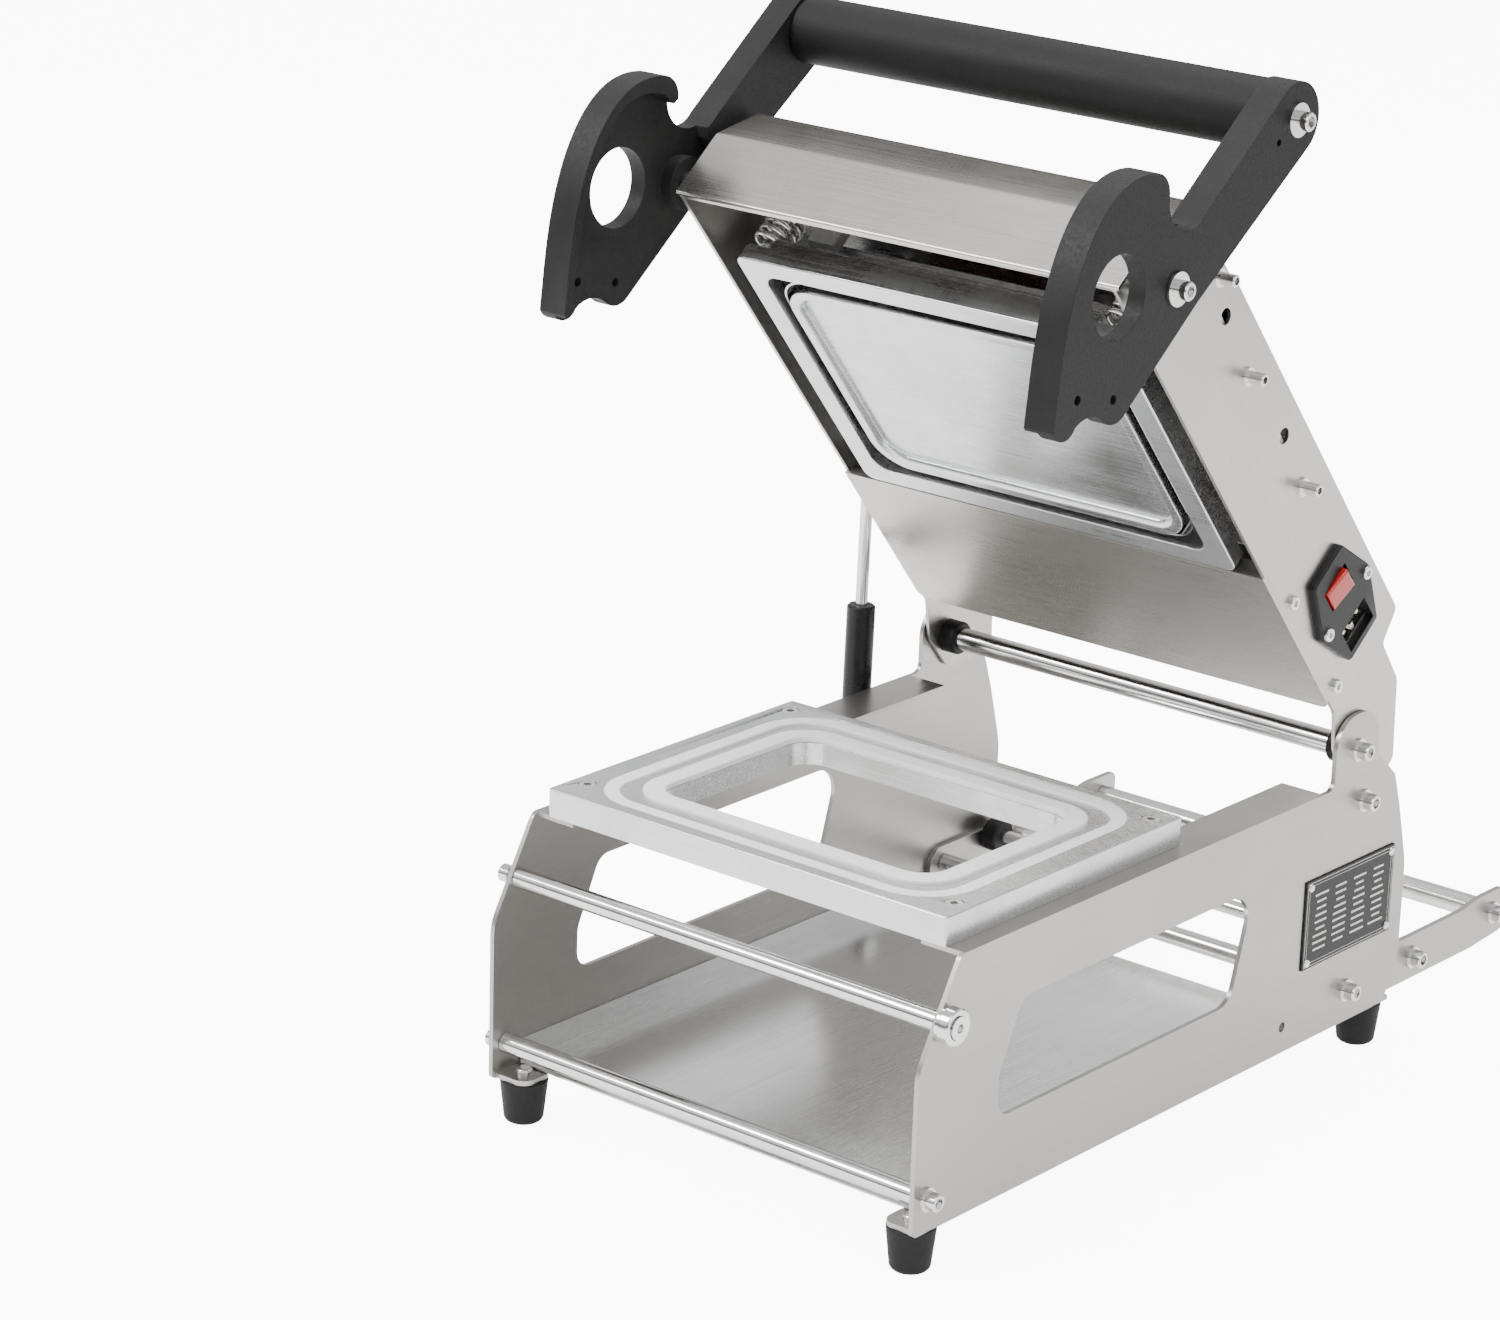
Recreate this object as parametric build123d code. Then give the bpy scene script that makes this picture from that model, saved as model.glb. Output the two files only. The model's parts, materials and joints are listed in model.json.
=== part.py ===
from build123d import *
import math
import os

os.makedirs("parts", exist_ok=True)

# Manual lever sealer for film-lidded trays, head open. Millimetres, +Z up, front towards -Y.
# X is across the machine, 0 on its middle plane. Frame heights start at the floor and
# frame depths at the front edge of the side plates.

# frame side plates
FRAME_HALF = 130.5
SIDE_T = 2.5
FOOT_H = 22.5
FLANGE_TOP = 152.7
FLANGE_W = 25.0
FLANGE_REAR = 318.0
REAR_EDGE = 398.5
EAR_R = 19.0
WINDOW = [
    (60.0, 62.5, 9.0),
    (60.0, 84.0, 14.0),
    (75.5, 118.0, 10.0),
    (262.0, 118.5, 14.0),
    (246.0, 63.0, 12.0),
]
SPARE_HOLE = (294.2, 36.5)
SPARE_HOLE_R = 2.6
TAB = 21.0

# hinge of the head
HINGE_Y = 346.0
OPEN_ANGLE = 50.4
SHAFT_R = 6.0
RUN_GAP = 0.06
BODY_GAP = 0.5

# cross rods of the frame
ROD_R = 5.0
UPPER_ROD_Y = 17.1
CAM_DROP = 46.7
LOWER_ROD = (9.0, 39.5)
REAR_ROD = (350.0, 40.0)
STOP_Y = 354.7
STOP_R = 11.0
STOP_GAP = 0.4
TAIL_DROP = 17.5
TAIL_L = 38.5
STOP_L = 10.0

# cap screws, M6, M5 and M4, and the head's long M4 studs: shank radius, head radius and head length
M6 = (3.0, 4.4, 6.0)
STUD = (2.0, 3.0, 8.5)
M5 = (2.5, 4.2, 4.5)
M4 = (2.0, 3.6, 2.4)
M4_LOW = (2.0, 3.4, 1.8)
WASHER_R = 5.8
HEAD_WASHER_R = 4.6
WASHER_T = 1.5
THREAD_L = 14.0
SCREW_GAP = 0.05
SMALL_THREAD_L = 8.0

# cam roller on the right end of the upper front rod, plain cam pin on its left end
ROLLER_R = 9.0
ROLLER_T = 6.0
ROLLER_SEAT_T = 1.6
ROLLER_SEAT_R = 8.0
ROLLER_PIN_R = 4.0
CAM_PIN_R = 4.0
CAM_PIN_L = 8.0

# base sheet
BASE_T = 1.2
BASE_LIP = 13.2
BASE_FRONT = 19.0
BASE_REAR = 334.0
BASE_Z = 25.2

# mould plate
MOULD_Y = 119.5
MOULD_INSET = 10.1
MOULD_HALF_Y = 91.0
MOULD_T = 14.5
MOULD_CORNER_R = 1.5
OPENING_HALF = (83.0, 57.0)
OPENING_R = 14.0
SEAL_HALF = (93.5, 67.0)
SEAL_R = 22.0
CUT_HALF = (108.0, 84.0)
CUT_R = 30.0
CUT_W = 8.0
GROOVE_D = 3.0
CUT_SINK = 1.2
SEAT_SINK = 1.6
MOULD_SCREW_INSET = 19.5
MOULD_SCREWS_Y = [46.0, 198.0]

# feet
FOOT_INSET = 11.0
FOOT_FRONT = 13.5
FOOT_REAR = 381.0
FOOT_TOP_R = 12.0
FOOT_LOW_R = 9.5
FOOT_SOLE_R = 3.5

# rating plate
PLATE_C = (346.5, 86.0)
PLATE_HALF = (39.5, 23.5)
PLATE_T = 1.0
RIVET_R = 2.2

# film roll holder
ARM_T = 3.0
ARM_FRONT = 350.0
ARM_END = 494.0
ARM_Z = 38.0
ARM_HALF = 12.0
ARM_RISE = 2.5
DEPTH = ARM_END + ARM_HALF
GUIDE_Y = 416.0
SPINDLE_Y = 390.0
SPINDLE_R = 4.0
SPINDLE_DROP = 3.5
COLLAR_R = 9.0
COLLAR_L = 9.0
END_ROD_R = 6.0

# head
HEAD_T = 2.0
HEAD_FRONT = 353.0
HEAD_TOP = 66.0
HOOD_T = 2.0
HOOD_REAR = 298.0
HOOD_KNEE = 38.0
HOOD_BACK = 337.0
HOOD_LIP = 3.5
PANEL_T = 1.5
PANEL_REAR = 35.0
PANEL_RISE = 12.0
COVER_LAP = 10.0
COVER_REAR = -34.0
COVER_LOW = 30.0
LUG_R = 14.5
BUSH_R = 7.5
BUSH_SHOULDER_R = 8.8
BUSH_L = 9.0
PRESS_SCREWS_S = [236.0, 153.0]
HEAD_BAR = (294.0, 57.0)
VENTS = [(274.0, 50.5), (187.0, 50.0)]
VENT_R = 4.0
BAR_R = 5.0
PANEL_SCREWS = [(110.0, 8.0), (42.0, 8.0)]

# clamp frame, blade and heater
FACE = -1.5
CLAMP_HALF = (113.0, 86.0)
CLAMP_HOLE = (100.5, 74.5)
CLAMP_R = 6.0
CLAMP_HOLE_R = 9.0
CLAMP_T = 15.0
CLAMP_TRAVEL = 4.0
BLADE_HALF = (97.6, 71.6)
BLADE_R = 20.0
BLADE_T = 1.0
BLADE_TIP = 1.5
BLADE_TOP = 24.0
CARRIER_T = 3.0
HEATER_HALF = (94.0, 68.0)
HEATER_R = 19.0
HEATER_T = 14.0
HEATER_RING_W = 7.5
HEATER_RING_H = 3.5
HEATER_BEVEL = 2.2
HEATER_TRAVEL = 3.0
ELEMENT_T = 4.0
POCKET = 6.0
SEAT_ROOM = 1.0
PRESS_Z = 42.0
PRESS_T = 8.0
PRESS_HALF_S = 84.0
POST_X = 104.0
POST_S = 78.0
POST_R = 4.0
SPRING_R = 10.0
WIRE_R = 1.3
SPRING_TURNS = 4.0
INNER_SPRING_R = 7.0
INNER_X = 60.0
INNER_S = 40.0

# sensor block and terminal block: limits across, limits in depth from the seal's middle
SENSOR_X = (-82.0, -66.0)
SENSOR_Y = (-84.0, -76.0)
TERMINAL_X = (20.0, 44.0)
TERMINAL_Y = (50.0, 66.0)
TERMINAL_H = 10.0
TERMINAL_PIT_R = 3.0
TERMINAL_PIT_D = 4.0

# handle
PIVOT_S = 344.0
PIVOT_H = 12.5
PIVOT_R = 5.0
PIVOT_WASHER_R = 8.0
CAM_GAP = 3.5
CAM_T = 16.0
CAM_CURVE = [(398.0, 33.0), (413.0, 2.0), (401.0, -38.0), (379.0, -67.0), (361.0, -86.0)]
GRIP_S = 336.5
GRIP_H = 120.5
GRIP_R = 16.5
GRIP_CORE_R = 8.0
GRIP_WASHER_R = 8.0
ARM_END_R = 17.5
CAM_RIM = 5.5
POCKET_D = 7.0
HUB_R = 13.0
CAM_HOLE = (374.0, -18.5)
CAM_HOLE_R = 19.3
CAM_DOTS = [(359.6, -65.5), (339.0, -48.0)]
CAM_DOT_R = 2.2
LEVER_DOT = (338.7, 104.5)
LEVER_DOT_R = 1.6
LEVER_DOT_D = 4.0

# power inlet with rocker switch
INLET_S = 76.0
INLET_H = 35.0
INLET_LONG = 29.5
INLET_FLAT = 15.0
INLET_WIDE = 24.5
INLET_T = 4.0
INLET_BODY = (46.0, 27.0, 26.0)
SOCKET_S = 58.5
SOCKET_HALF = (11.5, 7.6)
SOCKET_D = 18.0
ROCKER_S = 89.0
ROCKER_HALF = (6.0, 8.5)
ROCKER_BLOCK = 9.0
ROCKER_DEPTH = 5.0
ROCKER_OUT = 2.4
TILT_ROOM = 1.8
ROCKER_PIN_R = 1.5
ROCKER_TILT = 8.0
INLET_SCREW = 19.5

# gas strut, left side
STRUT_STAND = 11.0
STRUT_LOW = (287.3, 45.0)
STRUT_TOP = (126.0, 36.0)
TUBE_R = 7.5
TUBE_BORE = 6.0
TUBE_L = 150.0
STRUT_ROD_R = 3.2
PISTON_GAP = 0.08
EYE_R = 7.0
STRUT_PIN_R = 4.0
NECK_R = 5.0
NECK_L = 10.0
NECK_SINK = 2.0

# places that follow from the sizes above
IN_FACE = FRAME_HALF - SIDE_T
HEAD_HALF = IN_FACE - BODY_GAP
HOOD_HALF = HEAD_HALF + HOOD_T
MOULD_TOP = FLANGE_TOP + MOULD_T
HINGE_Z = MOULD_TOP + BODY_GAP - FACE
UPPER_ROD = (UPPER_ROD_Y, HINGE_Z - CAM_DROP)
MOULD_HALF_X = FRAME_HALF - MOULD_INSET
MOULD_SCREW_X = FRAME_HALF - MOULD_SCREW_INSET
MOULD_SCREWS = [(x, y) for x in (-MOULD_SCREW_X, MOULD_SCREW_X) for y in MOULD_SCREWS_Y]
FOOT_X = FRAME_HALF - FOOT_INSET
CAM_IN = FRAME_HALF + CAM_GAP
CAM_OUT = CAM_IN + CAM_T
STRUT_X = -FRAME_HALF - STRUT_STAND
COS = math.cos(math.radians(OPEN_ANGLE))
SIN = math.sin(math.radians(OPEN_ANGLE))
HEAD_PLACE = Location((0, HINGE_Y, HINGE_Z)) * Location((0, 0, 0), (-OPEN_ANGLE, 0, 0))
CENTRE = Location((0, -DEPTH / 2, 0))
SEAL_C = HINGE_Y - MOULD_Y
PANEL_FRONT = SEAL_C - CLAMP_HALF[1] - BODY_GAP
HEAD_SCREWS = [(s, PRESS_Z + PRESS_T / 2) for s in PRESS_SCREWS_S] + [HEAD_BAR]
STOP_AT = (STOP_Y, HINGE_Z - TAIL_DROP - STOP_GAP - STOP_R)


def corner_outline(corners):
    """Closed outline in two axes through (u, v, radius) corners, each rounded by its radius."""
    edges = []
    ends = []
    count = len(corners)
    for i in range(count):
        here = Vector(corners[i][0], corners[i][1])
        before = Vector(corners[i - 1][0], corners[i - 1][1])
        after = Vector(corners[(i + 1) % count][0], corners[(i + 1) % count][1])
        radius = corners[i][2]
        to_before = (before - here).normalized()
        to_after = (after - here).normalized()
        if radius <= 0:
            ends.append((here, here))
            continue
        half = to_before.get_angle(to_after) / 2
        reach = radius / math.tan(math.radians(half))
        bisector = (to_before + to_after).normalized()
        middle = here + bisector * (radius / math.sin(math.radians(half)) - radius)
        start = here + to_before * reach
        finish = here + to_after * reach
        edges.append(ThreePointArc(start, middle, finish))
        ends.append((start, finish))
    for i in range(count):
        leave = ends[i][1]
        arrive = ends[(i + 1) % count][0]
        if (arrive - leave).length > 1e-6:
            edges.append(Line(leave, arrive))
    return make_face(edges)


def slab(corners, x_start, thickness):
    """Plate across X from its outline in (depth, height)."""
    return Plane.YZ.offset(x_start) * extrude(corner_outline(corners), amount=thickness)


def rod_x(x_start, x_end, y, z, radius):
    """Round bar along X."""
    disc = Plane(origin=(x_start, y, z), x_dir=(0, 1, 0), z_dir=(1, 0, 0)) * Circle(radius)
    return extrude(disc, amount=x_end - x_start, dir=(1, 0, 0))


def block(x_range, y_range, z_range):
    """Box between two limits on each axis."""
    limits = (x_range, y_range, z_range)
    size = [high - low for low, high in limits]
    middle = tuple((low + high) / 2 for low, high in limits)
    return Location(middle) * Box(*size)


def ring_plate(half, hole, radius, hole_radius, y_mid, z_low, thickness):
    """Rounded rectangle in plan, with a rounded rectangular hole unless hole is None."""
    outline = RectangleRounded(2 * half[0], 2 * half[1], radius)
    if hole is not None:
        outline -= RectangleRounded(2 * hole[0], 2 * hole[1], hole_radius)
    return Location((0, y_mid, z_low)) * extrude(outline, amount=thickness)


def cap_screw(size, shank, side, x_face, y, z):
    """Socket cap screw along X, its head on x_face and its shank pointing inwards."""
    shank_r, head_r, head_l = size
    head = rod_x(0, head_l, 0, 0, head_r)
    head = fillet(head.faces().sort_by(Axis.X)[-1].edges(), 0.6)
    socket = extrude(Plane.YZ.offset(head_l) * RegularPolygon(shank_r * 0.95, 6), amount=-head_l * 0.55)
    screw = head - socket + rod_x(-shank, 0, 0, 0, shank_r - SCREW_GAP)
    if side < 0:
        screw = screw.rotate(Axis.Z, 180)
    return Location((x_face, y, z)) * screw


def washer_x(side, x_face, y, z, hole_r, outer_r, thickness):
    """Flat washer on a plate face, its axis along X."""
    ends = sorted([x_face, x_face + side * thickness])
    return rod_x(ends[0], ends[1], y, z, outer_r) - rod_x(ends[0] - 1, ends[1] + 1, y, z, hole_r)


def spring_z(radius, wire, low, high, turns):
    """Compression spring on the Z axis, between two heights, with its wire clear of both seats."""
    rise = high - low - 2 * wire
    path = Helix(pitch=rise / turns, height=rise, radius=radius, center=(0, 0, low + wire))
    section = Plane(origin=path @ 0, z_dir=path % 0) * Circle(wire)
    return sweep(section, path=path, is_frenet=True)


def head_x(x_start, x_end, s, h, radius):
    """Round bar along X at distance s in front of the hinge and height h above it."""
    return rod_x(x_start, x_end, -s, h, radius)


# ---------------------------------------------------------------- frame

def side_plate(side):
    """Folded side plate: web with window and ear, top flange, two foot tabs."""
    top_z = FLANGE_TOP
    ear_front = HINGE_Y - EAR_R
    ear_rear = HINGE_Y + EAR_R
    ear_top = HINGE_Z + EAR_R
    corners = [
        (0.0, FOOT_H, 3.0),
        (0.0, 103.0, 24.0),
        (28.0, top_z, 6.0),
        (ear_front, top_z, 5.0),
        (ear_front, ear_top, 17.0),
        (ear_rear, ear_top, 17.0),
        (ear_rear, 163.0, 5.0),
        (383.0, 147.0, 5.0),
        (389.5, 128.0, 30.0),
        (REAR_EDGE, 96.0, 40.0),
        (REAR_EDGE, 46.0, 14.0),
        (387.0, FOOT_H, 5.0),
    ]
    web = slab(corners, IN_FACE, SIDE_T)
    web -= slab(WINDOW, IN_FACE - 1, SIDE_T + 2)
    flange = block((FRAME_HALF - FLANGE_W, FRAME_HALF), (30.0, FLANGE_REAR), (top_z - SIDE_T, top_z))
    plate = web + flange
    for mid in (FOOT_FRONT, FOOT_REAR):
        ends = (mid - TAB / 2, mid + TAB / 2)
        tab = block((FRAME_HALF - TAB, FRAME_HALF), ends, (FOOT_H, FOOT_H + SIDE_T))
        rounded = tab.edges().filter_by(Axis.Z).sort_by(Axis.X)[:2]
        plate += fillet(rounded, 7.0)
        plate -= Location((FOOT_X, mid, FOOT_H)) * Cylinder(M5[0], 4 * SIDE_T)
    for y, z in (LOWER_ROD, REAR_ROD, UPPER_ROD, (HINGE_Y, HINGE_Z)):
        plate -= rod_x(IN_FACE - 1, FRAME_HALF + 1, y, z, M6[0])
    for x, y in MOULD_SCREWS:
        if x > 0:
            plate -= Location((x, y, top_z)) * Cylinder(M5[0], 4 * SIDE_T)
    if side > 0:
        plate -= rod_x(IN_FACE - 1, FRAME_HALF + 1, STOP_AT[0], STOP_AT[1], M6[0])
        plate -= rod_x(IN_FACE - 1, FRAME_HALF + 1, SPARE_HOLE[0], SPARE_HOLE[1], SPARE_HOLE_R)
        return plate
    plate -= rod_x(IN_FACE - 1, FRAME_HALF + 1, STRUT_LOW[0], STRUT_LOW[1], STRUT_PIN_R)
    return mirror(plate, about=Plane.YZ)


def base_tray():
    """Flat base sheet with a lip turned up against each side plate."""
    half = IN_FACE - SCREW_GAP
    sheet = block((-half, half), (BASE_FRONT, BASE_REAR), (BASE_Z, BASE_Z + BASE_T))
    for side in (-1, 1):
        ends = sorted([side * half, side * (half - BASE_T)])
        lip = block(ends, (BASE_FRONT, BASE_REAR), (BASE_Z, BASE_Z + BASE_LIP))
        sheet += lip
    return sheet


def tie_rod(at, half, radius, bore_r=M6[0]):
    """Round tie rod between plates, with a tapped hole in each end."""
    rod = rod_x(-half, half, at[0], at[1], radius)
    rod = chamfer(rod.edges().filter_by(GeomType.CIRCLE), 0.5)
    for side in (-1, 1):
        ends = sorted([side * half, side * (half - THREAD_L)])
        rod -= rod_x(ends[0], ends[1], at[0], at[1], bore_r)
    return rod


def both_sides(make):
    """The same small piece on the right and on the left, as separate solids."""
    return [make(1), make(-1)]


def frame_screws():
    """Cap screws of the rods, hinge shaft, stop and film arms, and the left lever's plain pin."""
    screws = []
    face = FRAME_HALF + WASHER_T
    for y, z in (LOWER_ROD, REAR_ROD, (HINGE_Y, HINGE_Z)):
        for side in (1, -1):
            screws.append(cap_screw(M6, THREAD_L, side, side * face, y, z))
    screws.append(cap_screw(M6, SIDE_T + WASHER_T + STOP_L / 2, 1, face, STOP_AT[0], STOP_AT[1]))
    cam_pin = (M6[0], CAM_PIN_R, CAM_PIN_L)
    screws.append(cap_screw(cam_pin, THREAD_L, -1, -FRAME_HALF, UPPER_ROD[0], UPPER_ROD[1]))
    for y, z in ((GUIDE_Y, ARM_Z), (ARM_END, ARM_Z + ARM_RISE)):
        for side in (1, -1):
            screws.append(cap_screw(M6, THREAD_L, side, side * (IN_FACE + WASHER_T), y, z))
    return screws


def frame_washers():
    """Flat washers under the frame's cap screws."""
    places = [(1, FRAME_HALF, STOP_AT[0], STOP_AT[1])]
    for side in (1, -1):
        places += [(side, FRAME_HALF, y, z) for y, z in (LOWER_ROD, REAR_ROD, (HINGE_Y, HINGE_Z))]
        places += [(side, IN_FACE, y, z) for y, z in ((GUIDE_Y, ARM_Z), (ARM_END, ARM_Z + ARM_RISE))]
    washers = []
    for side, face, y, z in places:
        washers.append(washer_x(side, side * face, y, z, M6[0], WASHER_R, WASHER_T))
    return washers


def stop_bumper():
    """Rubber bumper on the right plate that the head's tail comes to rest above."""
    bumper = rod_x(IN_FACE - STOP_L, IN_FACE, STOP_AT[0], STOP_AT[1], STOP_R)
    bumper = fillet(bumper.edges().filter_by(GeomType.CIRCLE), 1.0)
    return bumper - rod_x(IN_FACE - STOP_L * 0.6, IN_FACE, STOP_AT[0], STOP_AT[1], M6[0])


def roller_seat():
    """Spacer between the right side plate and the roller."""
    return washer_x(1, FRAME_HALF, UPPER_ROD[0], UPPER_ROD[1], M6[0], ROLLER_SEAT_R, ROLLER_SEAT_T)


def roller_pin():
    """Shoulder screw the roller turns on, with a thin head."""
    seat = FRAME_HALF + ROLLER_SEAT_T
    end = seat + ROLLER_T + 0.4
    pin = rod_x(seat, end, 0, 0, ROLLER_PIN_R)
    pin += rod_x(end - 1.4, end + 0.8, 0, 0, ROLLER_PIN_R + 1.6)
    pin -= extrude(Plane.YZ.offset(end + 0.8) * RegularPolygon(2.4, 6), amount=-3.0)
    pin += rod_x(seat - THREAD_L, seat, 0, 0, M6[0] - SCREW_GAP)
    return Location((0, UPPER_ROD[0], UPPER_ROD[1])) * pin


def roller():
    """Cam roller: a steel ring with chamfered rims and a recess for the screw head."""
    seat = FRAME_HALF + ROLLER_SEAT_T + 0.2
    ring = rod_x(seat, seat + ROLLER_T, 0, 0, ROLLER_R)
    ring = chamfer(ring.edges().filter_by(GeomType.CIRCLE), 0.7)
    ring -= rod_x(seat - 1, seat + ROLLER_T + 1, 0, 0, ROLLER_PIN_R + RUN_GAP)
    ring -= rod_x(seat + ROLLER_T - 1.5, seat + ROLLER_T + 1, 0, 0, ROLLER_PIN_R + 2.0)
    return Location((0, UPPER_ROD[0], UPPER_ROD[1])) * ring


def mould_plate():
    """Thick plate with the tray opening, a seat for the tray rim and two gasket grooves."""
    half = (MOULD_HALF_X, MOULD_HALF_Y)
    plate = ring_plate(half, OPENING_HALF, MOULD_CORNER_R, OPENING_R, MOULD_Y, FLANGE_TOP, MOULD_T)
    plate = chamfer(plate.faces().sort_by(Axis.Z)[-1].outer_wire().edges(), 0.6)
    inner = (CUT_HALF[0] - CUT_W, CUT_HALF[1] - CUT_W)
    groove = ring_plate(CUT_HALF, inner, CUT_R, CUT_R - CUT_W, MOULD_Y, MOULD_TOP - GROOVE_D, GROOVE_D)
    seat = ring_plate(inner, SEAL_HALF, CUT_R - CUT_W, SEAL_R, MOULD_Y, MOULD_TOP - SEAT_SINK, SEAT_SINK)
    ledge = ring_plate(SEAL_HALF, None, SEAL_R, 0, MOULD_Y, MOULD_TOP - GROOVE_D, GROOVE_D)
    plate = plate - groove - seat - ledge
    for x, y in MOULD_SCREWS:
        plate -= Location((x, y, MOULD_TOP - M5[2] / 2)) * Cylinder(M5[1] + 0.3, M5[2])
        plate -= Location((x, y, FLANGE_TOP + MOULD_T / 2)) * Cylinder(M5[0], MOULD_T + 2)
    return plate


def cutting_ring():
    """Outer silicone ring under the blade."""
    inner = (CUT_HALF[0] - CUT_W, CUT_HALF[1] - CUT_W)
    low = MOULD_TOP - GROOVE_D
    return ring_plate(CUT_HALF, inner, CUT_R, CUT_R - CUT_W, MOULD_Y, low, GROOVE_D - CUT_SINK / 4)


def sealing_gasket():
    """Inner silicone ring that carries the tray rim."""
    low = MOULD_TOP - GROOVE_D
    return ring_plate(SEAL_HALF, OPENING_HALF, SEAL_R, OPENING_R, MOULD_Y, low, GROOVE_D)


def mould_screws():
    """Countersunk screws of the mould plate."""
    screws = []
    for x, y in MOULD_SCREWS:
        head = Location((x, y, MOULD_TOP - M5[2] / 2)) * Cylinder(M5[1], M5[2] - 0.6)
        shank_l = MOULD_T + SIDE_T - M5[2] / 2
        shank = Cylinder(M5[0] - SCREW_GAP, shank_l)
        screw = head + Location((x, y, MOULD_TOP - M5[2] / 2 - shank_l / 2)) * shank
        hex_cut = extrude(RegularPolygon(2.3, 6), amount=2.5)
        screws.append(screw - Location((x, y, MOULD_TOP - 2.6)) * hex_cut)
    return screws


def foot_places():
    """Centres of the four feet."""
    return [(side * FOOT_X, y) for side in (-1, 1) for y in (FOOT_FRONT, FOOT_REAR)]


def feet():
    """Tapered rubber feet with rounded soles and a screw hole."""
    shapes = []
    for x, y in foot_places():
        cone = Cone(FOOT_LOW_R, FOOT_TOP_R, FOOT_H)
        cone = fillet(cone.edges().sort_by(Axis.Z)[0], FOOT_SOLE_R)
        cone = Location((0, 0, FOOT_H / 2)) * cone
        bore = Location((0, 0, FOOT_H - 4)) * Cylinder(M5[0], 8.0)
        shapes.append(Location((x, y, 0)) * (cone - bore))
    return shapes


def foot_screws():
    """Button screws through the tabs into the feet."""
    shapes = []
    top = FOOT_H + SIDE_T
    for x, y in foot_places():
        head = Cylinder(M5[1], 2.6)
        head = fillet(head.edges().sort_by(Axis.Z)[-1], 1.6)
        shank = Location((0, 0, -4.8)) * Cylinder(M5[0] - SCREW_GAP, 7.0)
        shapes.append(Location((x, y, top + 1.3)) * (head + shank))
    return shapes


def rating_plate():
    """Thin plate on the right side of the frame."""
    y, z = PLATE_C
    half_y, half_z = PLATE_HALF
    return block((FRAME_HALF, FRAME_HALF + PLATE_T), (y - half_y, y + half_y), (z - half_z, z + half_z))


def rating_rivets():
    """Dome rivets in the four corners of the rating plate."""
    shapes = []
    face = FRAME_HALF + PLATE_T
    for sign_y in (-1, 1):
        for sign_z in (-1, 1):
            y = PLATE_C[0] + sign_y * (PLATE_HALF[0] - 3.5)
            z = PLATE_C[1] + sign_z * (PLATE_HALF[1] - 3.5)
            head = rod_x(face, face + 1.2, y, z, RIVET_R)
            shapes.append(fillet(head.faces().sort_by(Axis.X)[-1].edges(), 0.9))
    return shapes


def film_arm(side):
    """Flat arm of the film holder, with an open slot for the spindle."""
    low = ARM_Z - ARM_HALF
    high = ARM_Z + ARM_HALF
    front = ARM_FRONT - ARM_HALF
    corners = [
        (front, low, 11.5),
        (front, high, 11.5),
        (ARM_END - 30, high, 20.0),
        (ARM_END - 14, high + ARM_RISE, 12.0),
        (DEPTH, high + ARM_RISE, 5.0),
        (DEPTH, low + ARM_RISE, 5.0),
        (ARM_END - 20, low, 20.0),
    ]
    x_in = IN_FACE - ARM_T
    arm = slab(corners, x_in, ARM_T)
    spindle_z = high - SPINDLE_DROP
    slot_r = SPINDLE_R + 2 * RUN_GAP
    arm -= rod_x(x_in - 1, IN_FACE + 1, SPINDLE_Y, spindle_z, slot_r)
    slot_y = (SPINDLE_Y - slot_r, SPINDLE_Y + slot_r)
    arm -= block((x_in - 1, IN_FACE + 1), slot_y, (spindle_z, high + 1))
    for y, z in (REAR_ROD, (GUIDE_Y, ARM_Z), (ARM_END, ARM_Z + ARM_RISE)):
        arm -= rod_x(x_in - 1, IN_FACE + 1, y, z, M6[0])
    if side < 0:
        return mirror(arm, about=Plane.YZ)
    return arm


def film_spindle():
    """Removable spindle for the film roll, lying in the slots of both arms."""
    z = ARM_Z + ARM_HALF - SPINDLE_DROP
    half = IN_FACE - 0.8
    rod = rod_x(-half, half, SPINDLE_Y, z, SPINDLE_R)
    return chamfer(rod.edges().filter_by(GeomType.CIRCLE), 0.6)


def spindle_collar(side):
    """Black collar that keeps the spindle centred between the arms."""
    z = ARM_Z + ARM_HALF - SPINDLE_DROP
    face = IN_FACE - ARM_T - BODY_GAP
    ends = sorted([side * face, side * (face - COLLAR_L)])
    collar = rod_x(ends[0], ends[1], SPINDLE_Y, z, COLLAR_R)
    collar = fillet(collar.edges().filter_by(GeomType.CIRCLE), 1.2)
    return collar - rod_x(ends[0] - 1, ends[1] + 1, SPINDLE_Y, z, SPINDLE_R)


def strut_low_stud():
    """Stud on the left side plate that the gas strut turns on."""
    y, z = STRUT_LOW
    shank = rod_x(-FRAME_HALF, -FRAME_HALF + SIDE_T + 3.0, y, z, STRUT_PIN_R - SCREW_GAP)
    collar = rod_x(STRUT_X + EYE_R / 2 + BODY_GAP, -FRAME_HALF, y, z, STRUT_PIN_R + 0.8)
    pin = rod_x(STRUT_X - EYE_R / 2 - 1.5, STRUT_X + EYE_R, y, z, STRUT_PIN_R)
    nut_face = Plane(origin=(-IN_FACE, y, z), x_dir=(0, 1, 0), z_dir=(1, 0, 0))
    nut = extrude(nut_face * RegularPolygon(6.0, 6), amount=4.0)
    return shank + collar + pin + nut


# ---------------------------------------------------------------- head, drawn closed about its hinge

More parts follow.
